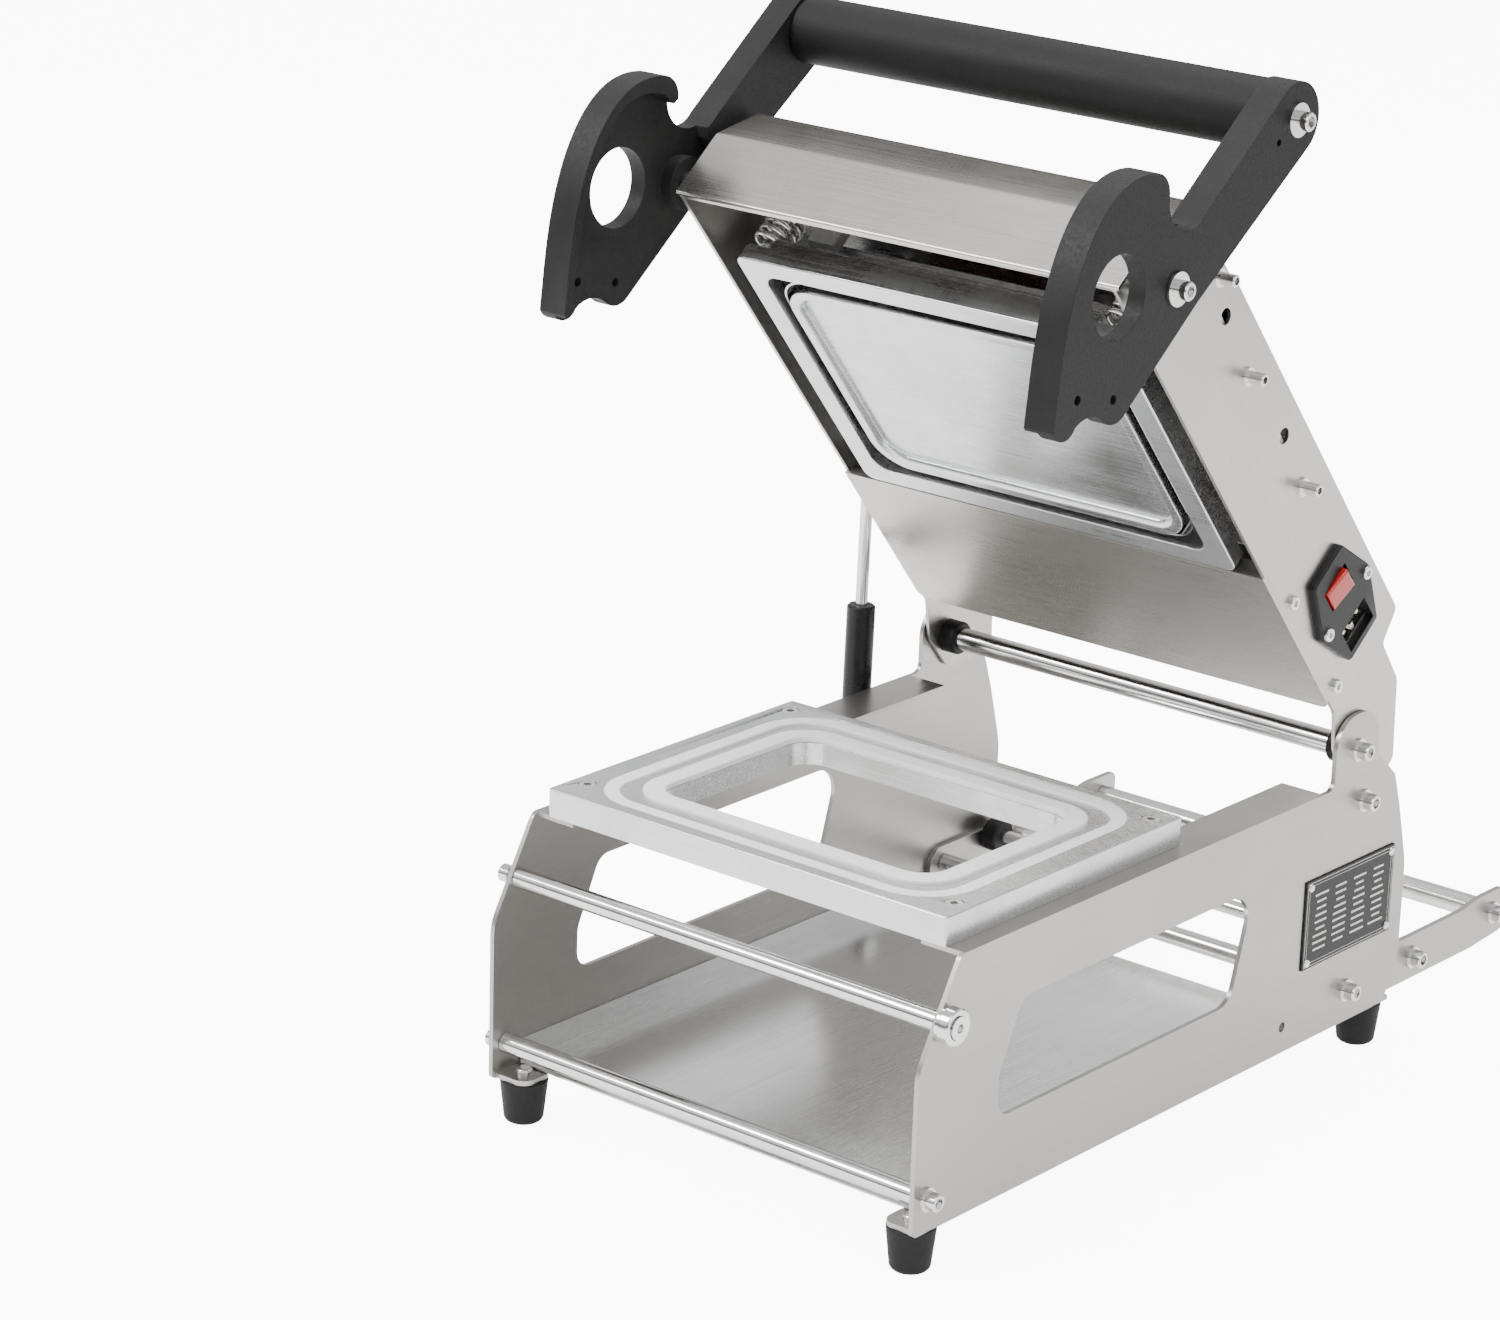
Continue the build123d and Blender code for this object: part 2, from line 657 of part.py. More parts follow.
def head_plate(side):
    """Side plate of the head with its hinge lug and stop tail."""
    tail_near = (TAIL_DROP * SIN, -TAIL_DROP * COS)
    tail_far = (tail_near[0] + TAIL_L * COS, tail_near[1] + TAIL_L * SIN)
    front = HEAD_FRONT - HOOD_T
    top = HEAD_TOP - HOOD_T
    corners = [
        (-front, 0.0, 1.0),
        (-30.0, 0.0, 6.0),
        (-12.0, -LUG_R + 3.0, 9.0),
        (tail_near[0], tail_near[1], 8.0),
        (tail_far[0], tail_far[1], 5.0),
        (2.0, 46.0, 6.0),
        (-25.0, 47.5, 4.0),
        (-31.0, HEAD_TOP, 4.0),
        (-280.0, HEAD_TOP, 3.0),
        (-286.0, top, 2.0),
        (-(HOOD_BACK - 1.5), top, 2.0),
        (-front, HOOD_KNEE - 1.0, 2.0),
    ]
    inner = HEAD_HALF - HEAD_T
    plate = slab(corners, inner, HEAD_T)
    bores = [(s, h, STUD[0]) for s, h in HEAD_SCREWS]
    bores += [(s, h, VENT_R) for s, h in VENTS]
    bores += [(s, h, M4[0]) for s, h in PANEL_SCREWS]
    bores += [(0.0, 0.0, BUSH_R), (PIVOT_S, PIVOT_H, PIVOT_R)]
    for s, h, radius in bores:
        plate -= head_x(inner - 1, HEAD_HALF + 1, s, h, radius)
    if side > 0:
        long_half, wide_half, _ = INLET_BODY
        y_ends = (-INLET_S - long_half / 2, -INLET_S + long_half / 2)
        z_ends = (INLET_H - wide_half / 2, INLET_H + wide_half / 2)
        plate -= block((inner - 1, HEAD_HALF + 1), y_ends, z_ends)
        for sign in (-1, 1):
            plate -= head_x(inner - 1, HEAD_HALF + 1, INLET_S, INLET_H + sign * INLET_SCREW, M4[0])
        return plate
    plate -= head_x(inner - 1, HEAD_HALF + 1, STRUT_TOP[0], STRUT_TOP[1], STRUT_PIN_R)
    return mirror(plate, about=Plane.YZ)


def hood():
    """Folded front hood: lip, front, sloping shoulder and top."""
    lip_end = HEAD_FRONT - HOOD_LIP
    corners = [
        (-HEAD_FRONT, 0.0, 1.6),
        (-HEAD_FRONT, HOOD_KNEE, 5.0),
        (-HOOD_BACK, HEAD_TOP, 4.0),
        (-HOOD_REAR, HEAD_TOP, 0.0),
        (-HOOD_REAR, HEAD_TOP - HOOD_T, 0.0),
        (-(HOOD_BACK - 1.0), HEAD_TOP - HOOD_T, 2.0),
        (-(HEAD_FRONT - HOOD_T), HOOD_KNEE - 0.8, 3.0),
        (-(HEAD_FRONT - HOOD_T), HOOD_T, 0.0),
        (-lip_end, HOOD_T, 0.0),
        (-lip_end, 0.0, 0.0),
    ]
    lip_half = HEAD_HALF - HEAD_T - SCREW_GAP
    shell = slab(corners, -HOOD_HALF, 2 * HOOD_HALF)
    for side in (-1, 1):
        ends = sorted([side * lip_half, side * (HOOD_HALF + 1)])
        shell -= block(ends, (-HEAD_FRONT + HOOD_T, -lip_end + 1), (-1, HOOD_T + 1))
    return shell


def top_cover():
    """Sheet that closes the head's upper side, with edges turned down inside the side plates."""
    half = HEAD_HALF - HEAD_T - SCREW_GAP
    top = HEAD_TOP - HOOD_T - SCREW_GAP
    front = -HOOD_REAR - COVER_LAP
    inner = COVER_REAR - PANEL_T
    corners = [
        (front, top - PANEL_T, 0.0),
        (front, top, 0.0),
        (COVER_REAR, top, 2.5),
        (COVER_REAR, COVER_LOW, 0.0),
        (inner, COVER_LOW, 0.0),
        (inner, top - PANEL_T, 1.0),
    ]
    return slab(corners, -half, 2 * half)


def bottom_panel():
    """Flat sheet under the rear of the head, with side edges turned up inside the plates."""
    low = -PANEL_T
    sheet = block((-HEAD_HALF, HEAD_HALF), (-PANEL_FRONT, -PANEL_REAR), (low, 0))
    sheet = fillet(sheet.edges().filter_by(Axis.Z).sort_by(Axis.Y)[-2:], 6.0)
    outer = HEAD_HALF - HEAD_T - SCREW_GAP
    for side in (-1, 1):
        ends = sorted([side * outer, side * (outer - PANEL_T)])
        lip = block(ends, (-PANEL_FRONT + 2, -PANEL_REAR - 3), (low, PANEL_RISE))
        for s, h in PANEL_SCREWS:
            lip -= head_x(ends[0] - 1, ends[1] + 1, s, h, M4[0])
        sheet += lip
    front = block((-outer, outer), (-PANEL_FRONT, -PANEL_FRONT + PANEL_T), (low, PANEL_RISE - 4))
    return sheet + front


def panel_screws():
    """Small button screws of the bottom panel."""
    screws = []
    for s, h in PANEL_SCREWS:
        for side in (1, -1):
            screws.append(cap_screw(M4, 6.0, side, side * HEAD_HALF, -s, h))
    return screws


def hinge_bush(side):
    """Black bush in the head's lug, turning on the hinge shaft."""
    inner = HEAD_HALF - HEAD_T
    ends = (inner - BUSH_L, inner)
    bush = rod_x(ends[0], ends[1], 0, 0, BUSH_SHOULDER_R)
    bush = fillet(bush.faces().sort_by(Axis.X)[0].edges(), 1.5)
    bush += rod_x(inner, HEAD_HALF, 0, 0, BUSH_R)
    bush -= rod_x(ends[0] - 1, HEAD_HALF + 1, 0, 0, SHAFT_R + RUN_GAP)
    if side < 0:
        return bush.rotate(Axis.Z, 180)
    return bush


def head_bar(at, radius):
    """Cross bar between the head's side plates."""
    return tie_rod((-at[0], at[1]), HEAD_HALF - HEAD_T - SCREW_GAP, radius, STUD[0])


def head_screws():
    """Cap screws of the head's cross bars, with their washers made on."""
    screws = []
    for s, h in HEAD_SCREWS:
        for side in (1, -1):
            face = HEAD_HALF + WASHER_T
            screw = cap_screw(STUD, THREAD_L, side, side * face, -s, h)
            hole_r = STUD[0] - SCREW_GAP
            screw += washer_x(side, side * HEAD_HALF, -s, h, hole_r, HEAD_WASHER_R, WASHER_T)
            screws.append(screw)
    return screws


def press_plate():
    """Thick plate that the springs push against, screwed to the side plates through its ends."""
    half = HEAD_HALF - HEAD_T - SCREW_GAP
    plate = ring_plate((half, PRESS_HALF_S), None, 4.0, 0, -SEAL_C, PRESS_Z, PRESS_T)
    for half_x, half_s in ((POST_X, POST_S), (INNER_X, INNER_S)):
        for x in (-half_x, half_x):
            for s in (-half_s, half_s):
                plate -= Location((x, -SEAL_C + s, PRESS_Z)) * Cylinder(POST_R + RUN_GAP, 4 * PRESS_T)
    for s in PRESS_SCREWS_S:
        for side in (-1, 1):
            ends = sorted([side * half, side * (half - THREAD_L)])
            plate -= head_x(ends[0], ends[1], s, PRESS_Z + PRESS_T / 2, STUD[0])
    return plate


def guide_posts(half_x, half_s, low):
    """Shouldered posts that slide in the press plate, with a nut on top."""
    posts = []
    nut_low = PRESS_Z + PRESS_T + 0.4
    for x in (-half_x, half_x):
        for s in (-half_s, half_s):
            post = Location((0, 0, (low + nut_low) / 2 + 2.5)) * Cylinder(POST_R, nut_low - low + 5)
            nut = Location((0, 0, nut_low)) * extrude(RegularPolygon(POST_R + 0.6, 6), amount=3.6)
            posts.append(Location((x, -SEAL_C + s, 0)) * (post + nut))
    return posts


def clamp_frame():
    """Thick aluminium frame that presses the film around the tray, with a pocket for each spring."""
    frame = ring_plate(CLAMP_HALF, CLAMP_HOLE, CLAMP_R, CLAMP_HOLE_R, -SEAL_C, FACE, CLAMP_T)
    lower = frame.faces().sort_by(Axis.Z)[0]
    frame = chamfer(lower.outer_wire().edges(), 0.6)
    top = FACE + CLAMP_T
    for x in (-POST_X, POST_X):
        for s in (-POST_S, POST_S):
            pocket = Cylinder(SPRING_R + SEAT_ROOM, 2 * POCKET) - Cylinder(POST_R, 2 * POCKET)
            frame -= Location((x, -SEAL_C + s, top)) * pocket
    return frame


def spring_set(radius, half_x, half_s, low):
    """Four springs that hang from the press plate around their guide posts."""
    shape = spring_z(radius, WIRE_R, low, PRESS_Z, SPRING_TURNS)
    places = [(x, -SEAL_C + s, 0) for x in (-half_x, half_x) for s in (-half_s, half_s)]
    return [Location(place) * shape for place in places]


def blade():
    """Thin cutting band around the heater."""
    inner = (BLADE_HALF[0] - BLADE_T, BLADE_HALF[1] - BLADE_T)
    height = BLADE_TOP - BLADE_TIP
    return ring_plate(BLADE_HALF, inner, BLADE_R, BLADE_R - BLADE_T, -SEAL_C, BLADE_TIP, height)


def blade_carrier():
    """Flat ring that joins the band to the press plate by four pillars."""
    inner = (BLADE_HALF[0] - 12.0, BLADE_HALF[1] - 12.0)
    ring = ring_plate(BLADE_HALF, inner, BLADE_R, BLADE_R - 10.0, -SEAL_C, BLADE_TOP, CARRIER_T)
    low = BLADE_TOP + CARRIER_T
    for x in (-BLADE_HALF[0] + 6.0, BLADE_HALF[0] - 6.0):
        for s in (-30.0, 30.0):
            middle = (x, -SEAL_C + s, (low + PRESS_Z) / 2)
            ring += Location(middle) * Cylinder(4.0, PRESS_Z - low)
    return ring


def heater_plate():
    """Heated die: thick plate with a raised sealing ring below and spring pockets above."""
    thickness = HEATER_T - HEATER_RING_H
    plate = ring_plate(HEATER_HALF, None, HEATER_R, 0, -SEAL_C, FACE + HEATER_RING_H, thickness)
    inner = (HEATER_HALF[0] - HEATER_RING_W, HEATER_HALF[1] - HEATER_RING_W)
    inner_r = HEATER_R - HEATER_RING_W
    ring = ring_plate(HEATER_HALF, inner, HEATER_R, inner_r, -SEAL_C, FACE, HEATER_RING_H)
    ring = chamfer(ring.faces().sort_by(Axis.Z)[0].inner_wires()[0].edges(), HEATER_BEVEL)
    plate += ring
    for x in (-INNER_X, INNER_X):
        for s in (-INNER_S, INNER_S):
            pocket = Cylinder(INNER_SPRING_R + SEAT_ROOM, 2 * POCKET) - Cylinder(POST_R, 2 * POCKET)
            plate -= Location((x, -SEAL_C + s, FACE + HEATER_T)) * pocket
    return plate


def heating_element():
    """Flat heating mat clamped on the die, open around the springs."""
    half = (HEATER_HALF[0] - 18.0, HEATER_HALF[1] - 12.0)
    mat = ring_plate(half, None, 8.0, 0, -SEAL_C, FACE + HEATER_T, ELEMENT_T)
    for x in (-INNER_X, INNER_X):
        for s in (-INNER_S, INNER_S):
            room = Cylinder(INNER_SPRING_R + SEAT_ROOM, 4 * ELEMENT_T)
            mat -= Location((x, -SEAL_C + s, FACE + HEATER_T)) * room
    return mat


def thermostat():
    """Temperature sensor block hung under the press plate beside the left front spring."""
    low = FACE + CLAMP_T + CLAMP_TRAVEL + BODY_GAP
    box = block(SENSOR_X, (SENSOR_Y[0] - SEAL_C, SENSOR_Y[1] - SEAL_C), (low, PRESS_Z))
    return fillet(box.edges().filter_by(Axis.Z), 1.5)


def terminal_block():
    """Ceramic terminal block near the inlet, with two screw pits."""
    low = PRESS_Z + PRESS_T
    top = low + TERMINAL_H
    box = block(TERMINAL_X, (TERMINAL_Y[0] - SEAL_C, TERMINAL_Y[1] - SEAL_C), (low, top))
    middle = (TERMINAL_Y[0] + TERMINAL_Y[1]) / 2 - SEAL_C
    quarter = (TERMINAL_X[1] - TERMINAL_X[0]) / 4
    for x in (TERMINAL_X[0] + quarter, TERMINAL_X[1] - quarter):
        box -= Location((x, middle, top)) * Cylinder(TERMINAL_PIT_R, 2 * TERMINAL_PIT_D)
    return box


def inlet_outline(grow):
    """Six-sided outline of the power inlet, larger all round by grow."""
    long_half = INLET_LONG + grow
    wide = INLET_WIDE + grow
    flat = INLET_FLAT
    points = [
        (-INLET_S - long_half, INLET_H - flat + 1, 3.0),
        (-INLET_S, INLET_H - wide, 5.0),
        (-INLET_S + long_half, INLET_H - flat + 1, 3.0),
        (-INLET_S + long_half, INLET_H + flat - 1, 3.0),
        (-INLET_S, INLET_H + wide, 5.0),
        (-INLET_S - long_half, INLET_H + flat - 1, 3.0),
    ]
    return points


def inlet_body():
    """Black power inlet module with a socket, a rocker window and two screw ears."""
    face = slab(inlet_outline(0.0), HEAD_HALF, INLET_T)
    face = chamfer(face.faces().sort_by(Axis.X)[-1].edges(), 1.0)
    long_side, wide_side, depth = INLET_BODY
    gap = SCREW_GAP
    y_ends = (-INLET_S - long_side / 2 + gap, -INLET_S + long_side / 2 - gap)
    z_ends = (INLET_H - wide_side / 2 + gap, INLET_H + wide_side / 2 - gap)
    face += block((HEAD_HALF - depth, HEAD_HALF), y_ends, z_ends)
    top = HEAD_HALF + INLET_T
    half_s, half_h = SOCKET_HALF
    y_socket = (-SOCKET_S - half_h, -SOCKET_S + half_h)
    face -= block((top - SOCKET_D, top + 1), y_socket, (INLET_H - half_s, INLET_H + half_s))
    rock_s, rock_h = ROCKER_HALF
    room = BODY_GAP
    s_ends = (-ROCKER_S - rock_s - room, -ROCKER_S + rock_s + room)
    h_ends = (INLET_H - rock_h - TILT_ROOM, INLET_H + rock_h + TILT_ROOM)
    face -= block((top - SOCKET_D, top + 1), s_ends, h_ends)
    pin = Cylinder(ROCKER_PIN_R, s_ends[1] - s_ends[0] + 1)
    face += Location((top - ROCKER_DEPTH, -ROCKER_S, INLET_H), (90, 0, 0)) * pin
    for sign in (-1, 1):
        face -= head_x(HEAD_HALF - 1, top + 1, INLET_S, INLET_H + sign * INLET_SCREW, M4[0])
    return face


def inlet_pins():
    """Three flat contact pins in the socket."""
    back = HEAD_HALF + INLET_T - SOCKET_D
    pins = []
    for ds, dh in ((2.2, 0.0), (-2.2, -6.6), (-2.2, 6.6)):
        y = -SOCKET_S + ds
        z = INLET_H + dh
        pins.append(block((back, back + 14.0), (y - 2.0, y + 2.0), (z - 1.0, z + 1.0)))
    return pins


def inlet_screws():
    """Two screws of the power inlet."""
    face = HEAD_HALF + INLET_T
    screws = []
    for sign in (-1, 1):
        h = INLET_H + sign * INLET_SCREW
        screws.append(cap_screw(M4_LOW, SMALL_THREAD_L, 1, face, -INLET_S, h))
    return screws


def strut_top_stud():
    """Short stud on the head's left plate, facing the end of the gas strut."""
    s, h = STRUT_TOP
    gap_face = STRUT_X + NECK_R + BODY_GAP
    stud = head_x(gap_face, -HEAD_HALF, s, h, STRUT_PIN_R + 2.0)
    stud += head_x(-HEAD_HALF, -HEAD_HALF + HEAD_T + 4.0, s, h, STRUT_PIN_R - SCREW_GAP)
    return stud


def pivot_pin(side):
    """Shoulder bolt that carries a cam lever on the head's side plate."""
    inner = HEAD_HALF - HEAD_T
    end = CAM_OUT + 0.3
    pin = rod_x(inner - 3.0, end, 0, 0, PIVOT_R - SCREW_GAP)
    pin += rod_x(HEAD_HALF, CAM_IN - 0.4, 0, 0, PIVOT_R + 1.6)
    pin += extrude(Plane.YZ.offset(inner - 5.0) * RegularPolygon(PIVOT_R + 1.4, 6), amount=5.0)
    if side < 0:
        pin = pin.rotate(Axis.Z, 180)
    return Location((0, -PIVOT_S, PIVOT_H)) * pin


def pivot_cap(side):
    """Washer and socket cap screw that close the pivot outside the lever."""
    face = CAM_OUT + 0.3
    cap = rod_x(face, face + WASHER_T, 0, 0, PIVOT_WASHER_R)
    cap = chamfer(cap.faces().sort_by(Axis.X)[-1].edges(), 0.4)
    cap += cap_screw(M6, 0.1, 1, face + WASHER_T, 0, 0)
    if side < 0:
        cap = cap.rotate(Axis.Z, 180)
    return Location((0, -PIVOT_S, PIVOT_H)) * cap


# ---------------------------------------------------------------- handle, drawn in the head's axes

def crescent(shrink):
    """Outer cam curve from the hook to the tip, moved inwards by shrink."""
    points = []
    for s, h in CAM_CURVE:
        away = Vector(s - PIVOT_S, h - PIVOT_H)
        kept = away * ((away.length - shrink) / away.length)
        points.append((-(PIVOT_S + kept.X), PIVOT_H + kept.Y))
    return points


def cam_outline():
    """Face of a cam lever: arm, hook, cam curve, tip, lobe and straight rear edge."""
    curve = Spline(*crescent(0.0))
    hook = (-CAM_CURVE[0][0], CAM_CURVE[0][1])
    tip = (-CAM_CURVE[-1][0], CAM_CURVE[-1][1])
    arm_top = GRIP_H
    front = -(GRIP_S + ARM_END_R)
    rear = -(GRIP_S - ARM_END_R)
    low_rear = -326.0
    edges = [
        curve,
        ThreePointArc(hook, (-389.5, 36.0), (-382.5, 33.0)),
        ThreePointArc((-382.5, 33.0), (-371.0, 28.0), (-360.0, 32.5)),
        ThreePointArc((-360.0, 32.5), (-356.0, 37.5), (front - 1.0, 46.0)),
        Line((front - 1.0, 46.0), (front, arm_top)),
        ThreePointArc((front, arm_top), (-GRIP_S, arm_top + ARM_END_R), (rear, arm_top)),
        Line((rear, arm_top), (low_rear, 20.0)),
        Line((low_rear, 20.0), (low_rear - 0.5, -46.0)),
        ThreePointArc((low_rear - 0.5, -46.0), (-329.0, -54.0), (-336.0, -58.5)),
        ThreePointArc((-336.0, -58.5), (-346.0, -64.0), (-350.5, -74.0)),
        ThreePointArc((-350.5, -74.0), (-353.0, -84.0), tip),
    ]
    return make_face(edges)


def roller_pocket():
    """Recess of the inner face inside a rim along the cam curve, open at the notch, rear and tip."""
    wall = [(-391.0, 27.0)] + crescent(CAM_RIM)[1:]
    low = -110.0
    behind = -300.0
    ledge = PIVOT_H + 22.0
    tip_side = [(-355.0, low), (behind, low), (behind, ledge)]
    notch_side = [(-352.0, ledge), (-362.0, 45.0), (-380.0, 45.0), (-382.5, 29.0)]
    area = make_face([Spline(*wall), Polyline(wall[-1], *tip_side, *notch_side, wall[0])])
    return area - Location((-PIVOT_S, PIVOT_H)) * Circle(HUB_R)


def cam_lever(side):
    """Thick cam plate with its arm, pocket, large hole and two small holes."""
    width = CAM_OUT - CAM_IN
    lever = Plane.YZ.offset(CAM_IN) * extrude(cam_outline(), amount=width)
    lever -= Plane.YZ.offset(CAM_IN) * extrude(roller_pocket(), amount=POCKET_D)
    lever -= head_x(CAM_IN - 1, CAM_OUT + 1, CAM_HOLE[0], CAM_HOLE[1], CAM_HOLE_R)
    lever -= head_x(CAM_IN - 1, CAM_OUT + 1, PIVOT_S, PIVOT_H, PIVOT_R + RUN_GAP - SCREW_GAP)
    lever -= head_x(CAM_IN - 1, CAM_OUT + 1, GRIP_S, GRIP_H, M6[0])
    lever -= head_x(CAM_OUT - LEVER_DOT_D, CAM_OUT + 1, LEVER_DOT[0], LEVER_DOT[1], LEVER_DOT_R)
    for s, h in CAM_DOTS:
        lever -= head_x(CAM_IN - 1, CAM_OUT + 1, s, h, CAM_DOT_R)
    if side < 0:
        return mirror(lever, about=Plane.YZ)
    return lever


def grip_tube():
    """Round grip between the two cam levers, with a core bore."""
    half = CAM_IN - SCREW_GAP
    tube = head_x(-half, half, GRIP_S, GRIP_H, GRIP_R)
    tube = fillet(tube.edges().filter_by(GeomType.CIRCLE), 1.5)
    return tube - head_x(-half - 1, half + 1, GRIP_S, GRIP_H, GRIP_CORE_R)


def grip_core():
    """Steel core of the grip, tapped at both ends."""
    return tie_rod((-GRIP_S, GRIP_H), CAM_IN - SCREW_GAP, GRIP_CORE_R - SCREW_GAP)


def grip_screw(side):
    """Washer and cap screw that hold a lever to the grip."""
    face = CAM_OUT + WASHER_T
    screw = cap_screw(M6, CAM_OUT - CAM_IN + THREAD_L, side, side * face, -GRIP_S, GRIP_H)
    hole_r = M6[0] - SCREW_GAP
    return screw + washer_x(side, side * CAM_OUT, -GRIP_S, GRIP_H, hole_r, GRIP_WASHER_R, WASHER_T)


def rocker():
    """Red rocker of the power switch, tilted about its pin."""
    half_s, half_h = ROCKER_HALF
    top = HEAD_HALF + INLET_T
    pin_x = top - ROCKER_DEPTH
    depth = (ROCKER_DEPTH - ROCKER_BLOCK, ROCKER_DEPTH + ROCKER_OUT)
    shape = block(depth, (-half_s, half_s), (-half_h, half_h))
    shape = fillet(shape.faces().sort_by(Axis.X)[-1].edges(), 1.2)
    shape -= Location((0, 0, 0), (90, 0, 0)) * Cylinder(ROCKER_PIN_R + RUN_GAP, 4 * half_s)
    return Location((pin_x, -ROCKER_S, INLET_H), (0, ROCKER_TILT, 0)) * shape


# ---------------------------------------------------------------- gas strut, drawn along its own axis

def strut_line():
    """Lower end, direction angle and length of the strut in the open rest pose."""
    s, h = STRUT_TOP
    top_y = HINGE_Y - s * COS + h * SIN
    top_z = HINGE_Z + s * SIN + h * COS
    dy = top_y - STRUT_LOW[0]
    dz = top_z - STRUT_LOW[1]
    return math.degrees(math.atan2(-dy, dz)), math.hypot(dy, dz)


def on_strut(shape):
    """Moves a shape drawn up the Z axis onto the strut's line."""
    lean = strut_line()[0]
    return Location((STRUT_X, STRUT_LOW[0], STRUT_LOW[1]), (lean, 0, 0)) * shape


def strut_eye(z):
    """Round eye about X, centred at height z on the strut's axis."""
    return rod_x(-EYE_R / 2, EYE_R / 2, 0, z, EYE_R)


def strut_tube():
    """Black pressure tube with its lower eye."""
    foot = EYE_R - 1.5
    tube = Location((0, 0, (foot + TUBE_L) / 2)) * Cylinder(TUBE_R, TUBE_L - foot)
    tube = chamfer(tube.edges().sort_by(Axis.Z)[-1], 1.0)
    bore = Location((0, 0, (EYE_R + 8.0 + TUBE_L) / 2)) * Cylinder(TUBE_BORE, TUBE_L - EYE_R - 8.0 - 8.0)
    mouth = Location((0, 0, TUBE_L)) * Cylinder(STRUT_ROD_R + RUN_GAP, 20.0)
    eye = strut_eye(0) - rod_x(-EYE_R, EYE_R, 0, 0, STRUT_PIN_R + RUN_GAP)
    return on_strut(tube - bore - mouth + eye)


def strut_rod():
    """Bright piston rod with its piston and upper eye."""
    length = strut_line()[1]
    foot = TUBE_L - 24.0
    top = length - EYE_R
    rod = Location((0, 0, (foot + top) / 2)) * Cylinder(STRUT_ROD_R, top - foot)
    piston = Location((0, 0, foot + 3.0)) * Cylinder(TUBE_BORE - PISTON_GAP, 6.0)
    neck = Location((0, 0, length - EYE_R - NECK_SINK)) * Cylinder(NECK_R, NECK_L)
    eye = strut_eye(length)
    return on_strut(rod + piston + neck + eye)


# ---------------------------------------------------------------- export

def placed(shapes, where):
    """List of solids moved to the machine's place."""
    found = shapes if isinstance(shapes, list) else [shapes]
    return [CENTRE * where * shape for shape in found]


def save(name, shapes, where=Location((0, 0, 0))):
    """Writes one named piece, or one set of identical pieces, as a STEP file."""
    moved = placed(shapes, where)
    solids = [solid for shape in moved for solid in shape.solids()]
    piece = solids[0] if len(solids) == 1 else Compound(children=solids)
    piece.label = name
    export_step(piece, f"parts/{name}.step")
    box = piece.bounding_box()
    size = [round(v, 1) for v in (box.min.X, box.max.X, box.min.Y, box.max.Y, box.min.Z, box.max.Z)]
    print(name, len(solids), size)


save("right_side_plate", side_plate(1))
save("left_side_plate", side_plate(-1))
save("base_tray", base_tray())
save("front_rods", [tie_rod(at, IN_FACE, ROD_R) for at in (UPPER_ROD, LOWER_ROD)])
save("rear_rods", [tie_rod(at, IN_FACE - ARM_T, ROD_R) for at in (REAR_ROD, (GUIDE_Y, ARM_Z))])
save("hinge_shaft", tie_rod((HINGE_Y, HINGE_Z), IN_FACE, SHAFT_R))
save("frame_screws", frame_screws())
save("frame_washers", frame_washers() + [roller_seat()])
save("stop_bumper", stop_bumper())
save("roller_pin", roller_pin())
save("cam_roller", roller())
save("mould_plate", mould_plate())
save("cutting_ring", cutting_ring())
save("sealing_gasket", sealing_gasket())
save("mould_screws", mould_screws())
save("feet", feet())
save("foot_screws", foot_screws())
save("rating_plate", rating_plate())
save("rating_rivets", rating_rivets())
save("film_arm_right", film_arm(1))
save("film_arm_left", film_arm(-1))
save("film_end_rod", tie_rod((ARM_END, ARM_Z + ARM_RISE), IN_FACE - ARM_T, END_ROD_R))
save("film_spindle", film_spindle())
save("spindle_collars", both_sides(spindle_collar))
save("strut_low_stud", strut_low_stud())

save("head_plate_right", head_plate(1), HEAD_PLACE)
save("head_plate_left", head_plate(-1), HEAD_PLACE)
save("hood", hood(), HEAD_PLACE)
save("top_cover", top_cover(), HEAD_PLACE)
save("bottom_panel", bottom_panel(), HEAD_PLACE)
save("head_small_screws", panel_screws() + inlet_screws(), HEAD_PLACE)
save("hinge_bushes", both_sides(hinge_bush), HEAD_PLACE)
save("head_bar", head_bar(HEAD_BAR, BAR_R), HEAD_PLACE)
save("head_screws", head_screws(), HEAD_PLACE)
save("press_plate", press_plate(), HEAD_PLACE)
save("blade", blade(), HEAD_PLACE)
save("blade_carrier", blade_carrier(), HEAD_PLACE)
save("thermostat", thermostat(), HEAD_PLACE)
save("terminal_block", terminal_block(), HEAD_PLACE)
save("inlet_body", inlet_body(), HEAD_PLACE)
save("inlet_pins", inlet_pins(), HEAD_PLACE)
save("strut_top_stud", strut_top_stud(), HEAD_PLACE)
save("pivot_pins", both_sides(pivot_pin), HEAD_PLACE)
save("pivot_caps", both_sides(pivot_cap), HEAD_PLACE)
clamp_low = FACE + CLAMP_T - POCKET + CLAMP_TRAVEL + BODY_GAP
heater_low = FACE + HEATER_T - POCKET + HEATER_TRAVEL + BODY_GAP
save("clamp_springs", spring_set(SPRING_R - WIRE_R, POST_X, POST_S, clamp_low), HEAD_PLACE)
save("heater_springs", spring_set(INNER_SPRING_R - WIRE_R, INNER_X, INNER_S, heater_low), HEAD_PLACE)

save("clamp_frame", clamp_frame(), HEAD_PLACE)
save("clamp_posts", guide_posts(POST_X, POST_S, FACE + CLAMP_T), HEAD_PLACE)
save("heater_plate", heater_plate(), HEAD_PLACE)
save("heating_element", heating_element(), HEAD_PLACE)
save("heater_posts", guide_posts(INNER_X, INNER_S, FACE + HEATER_T), HEAD_PLACE)

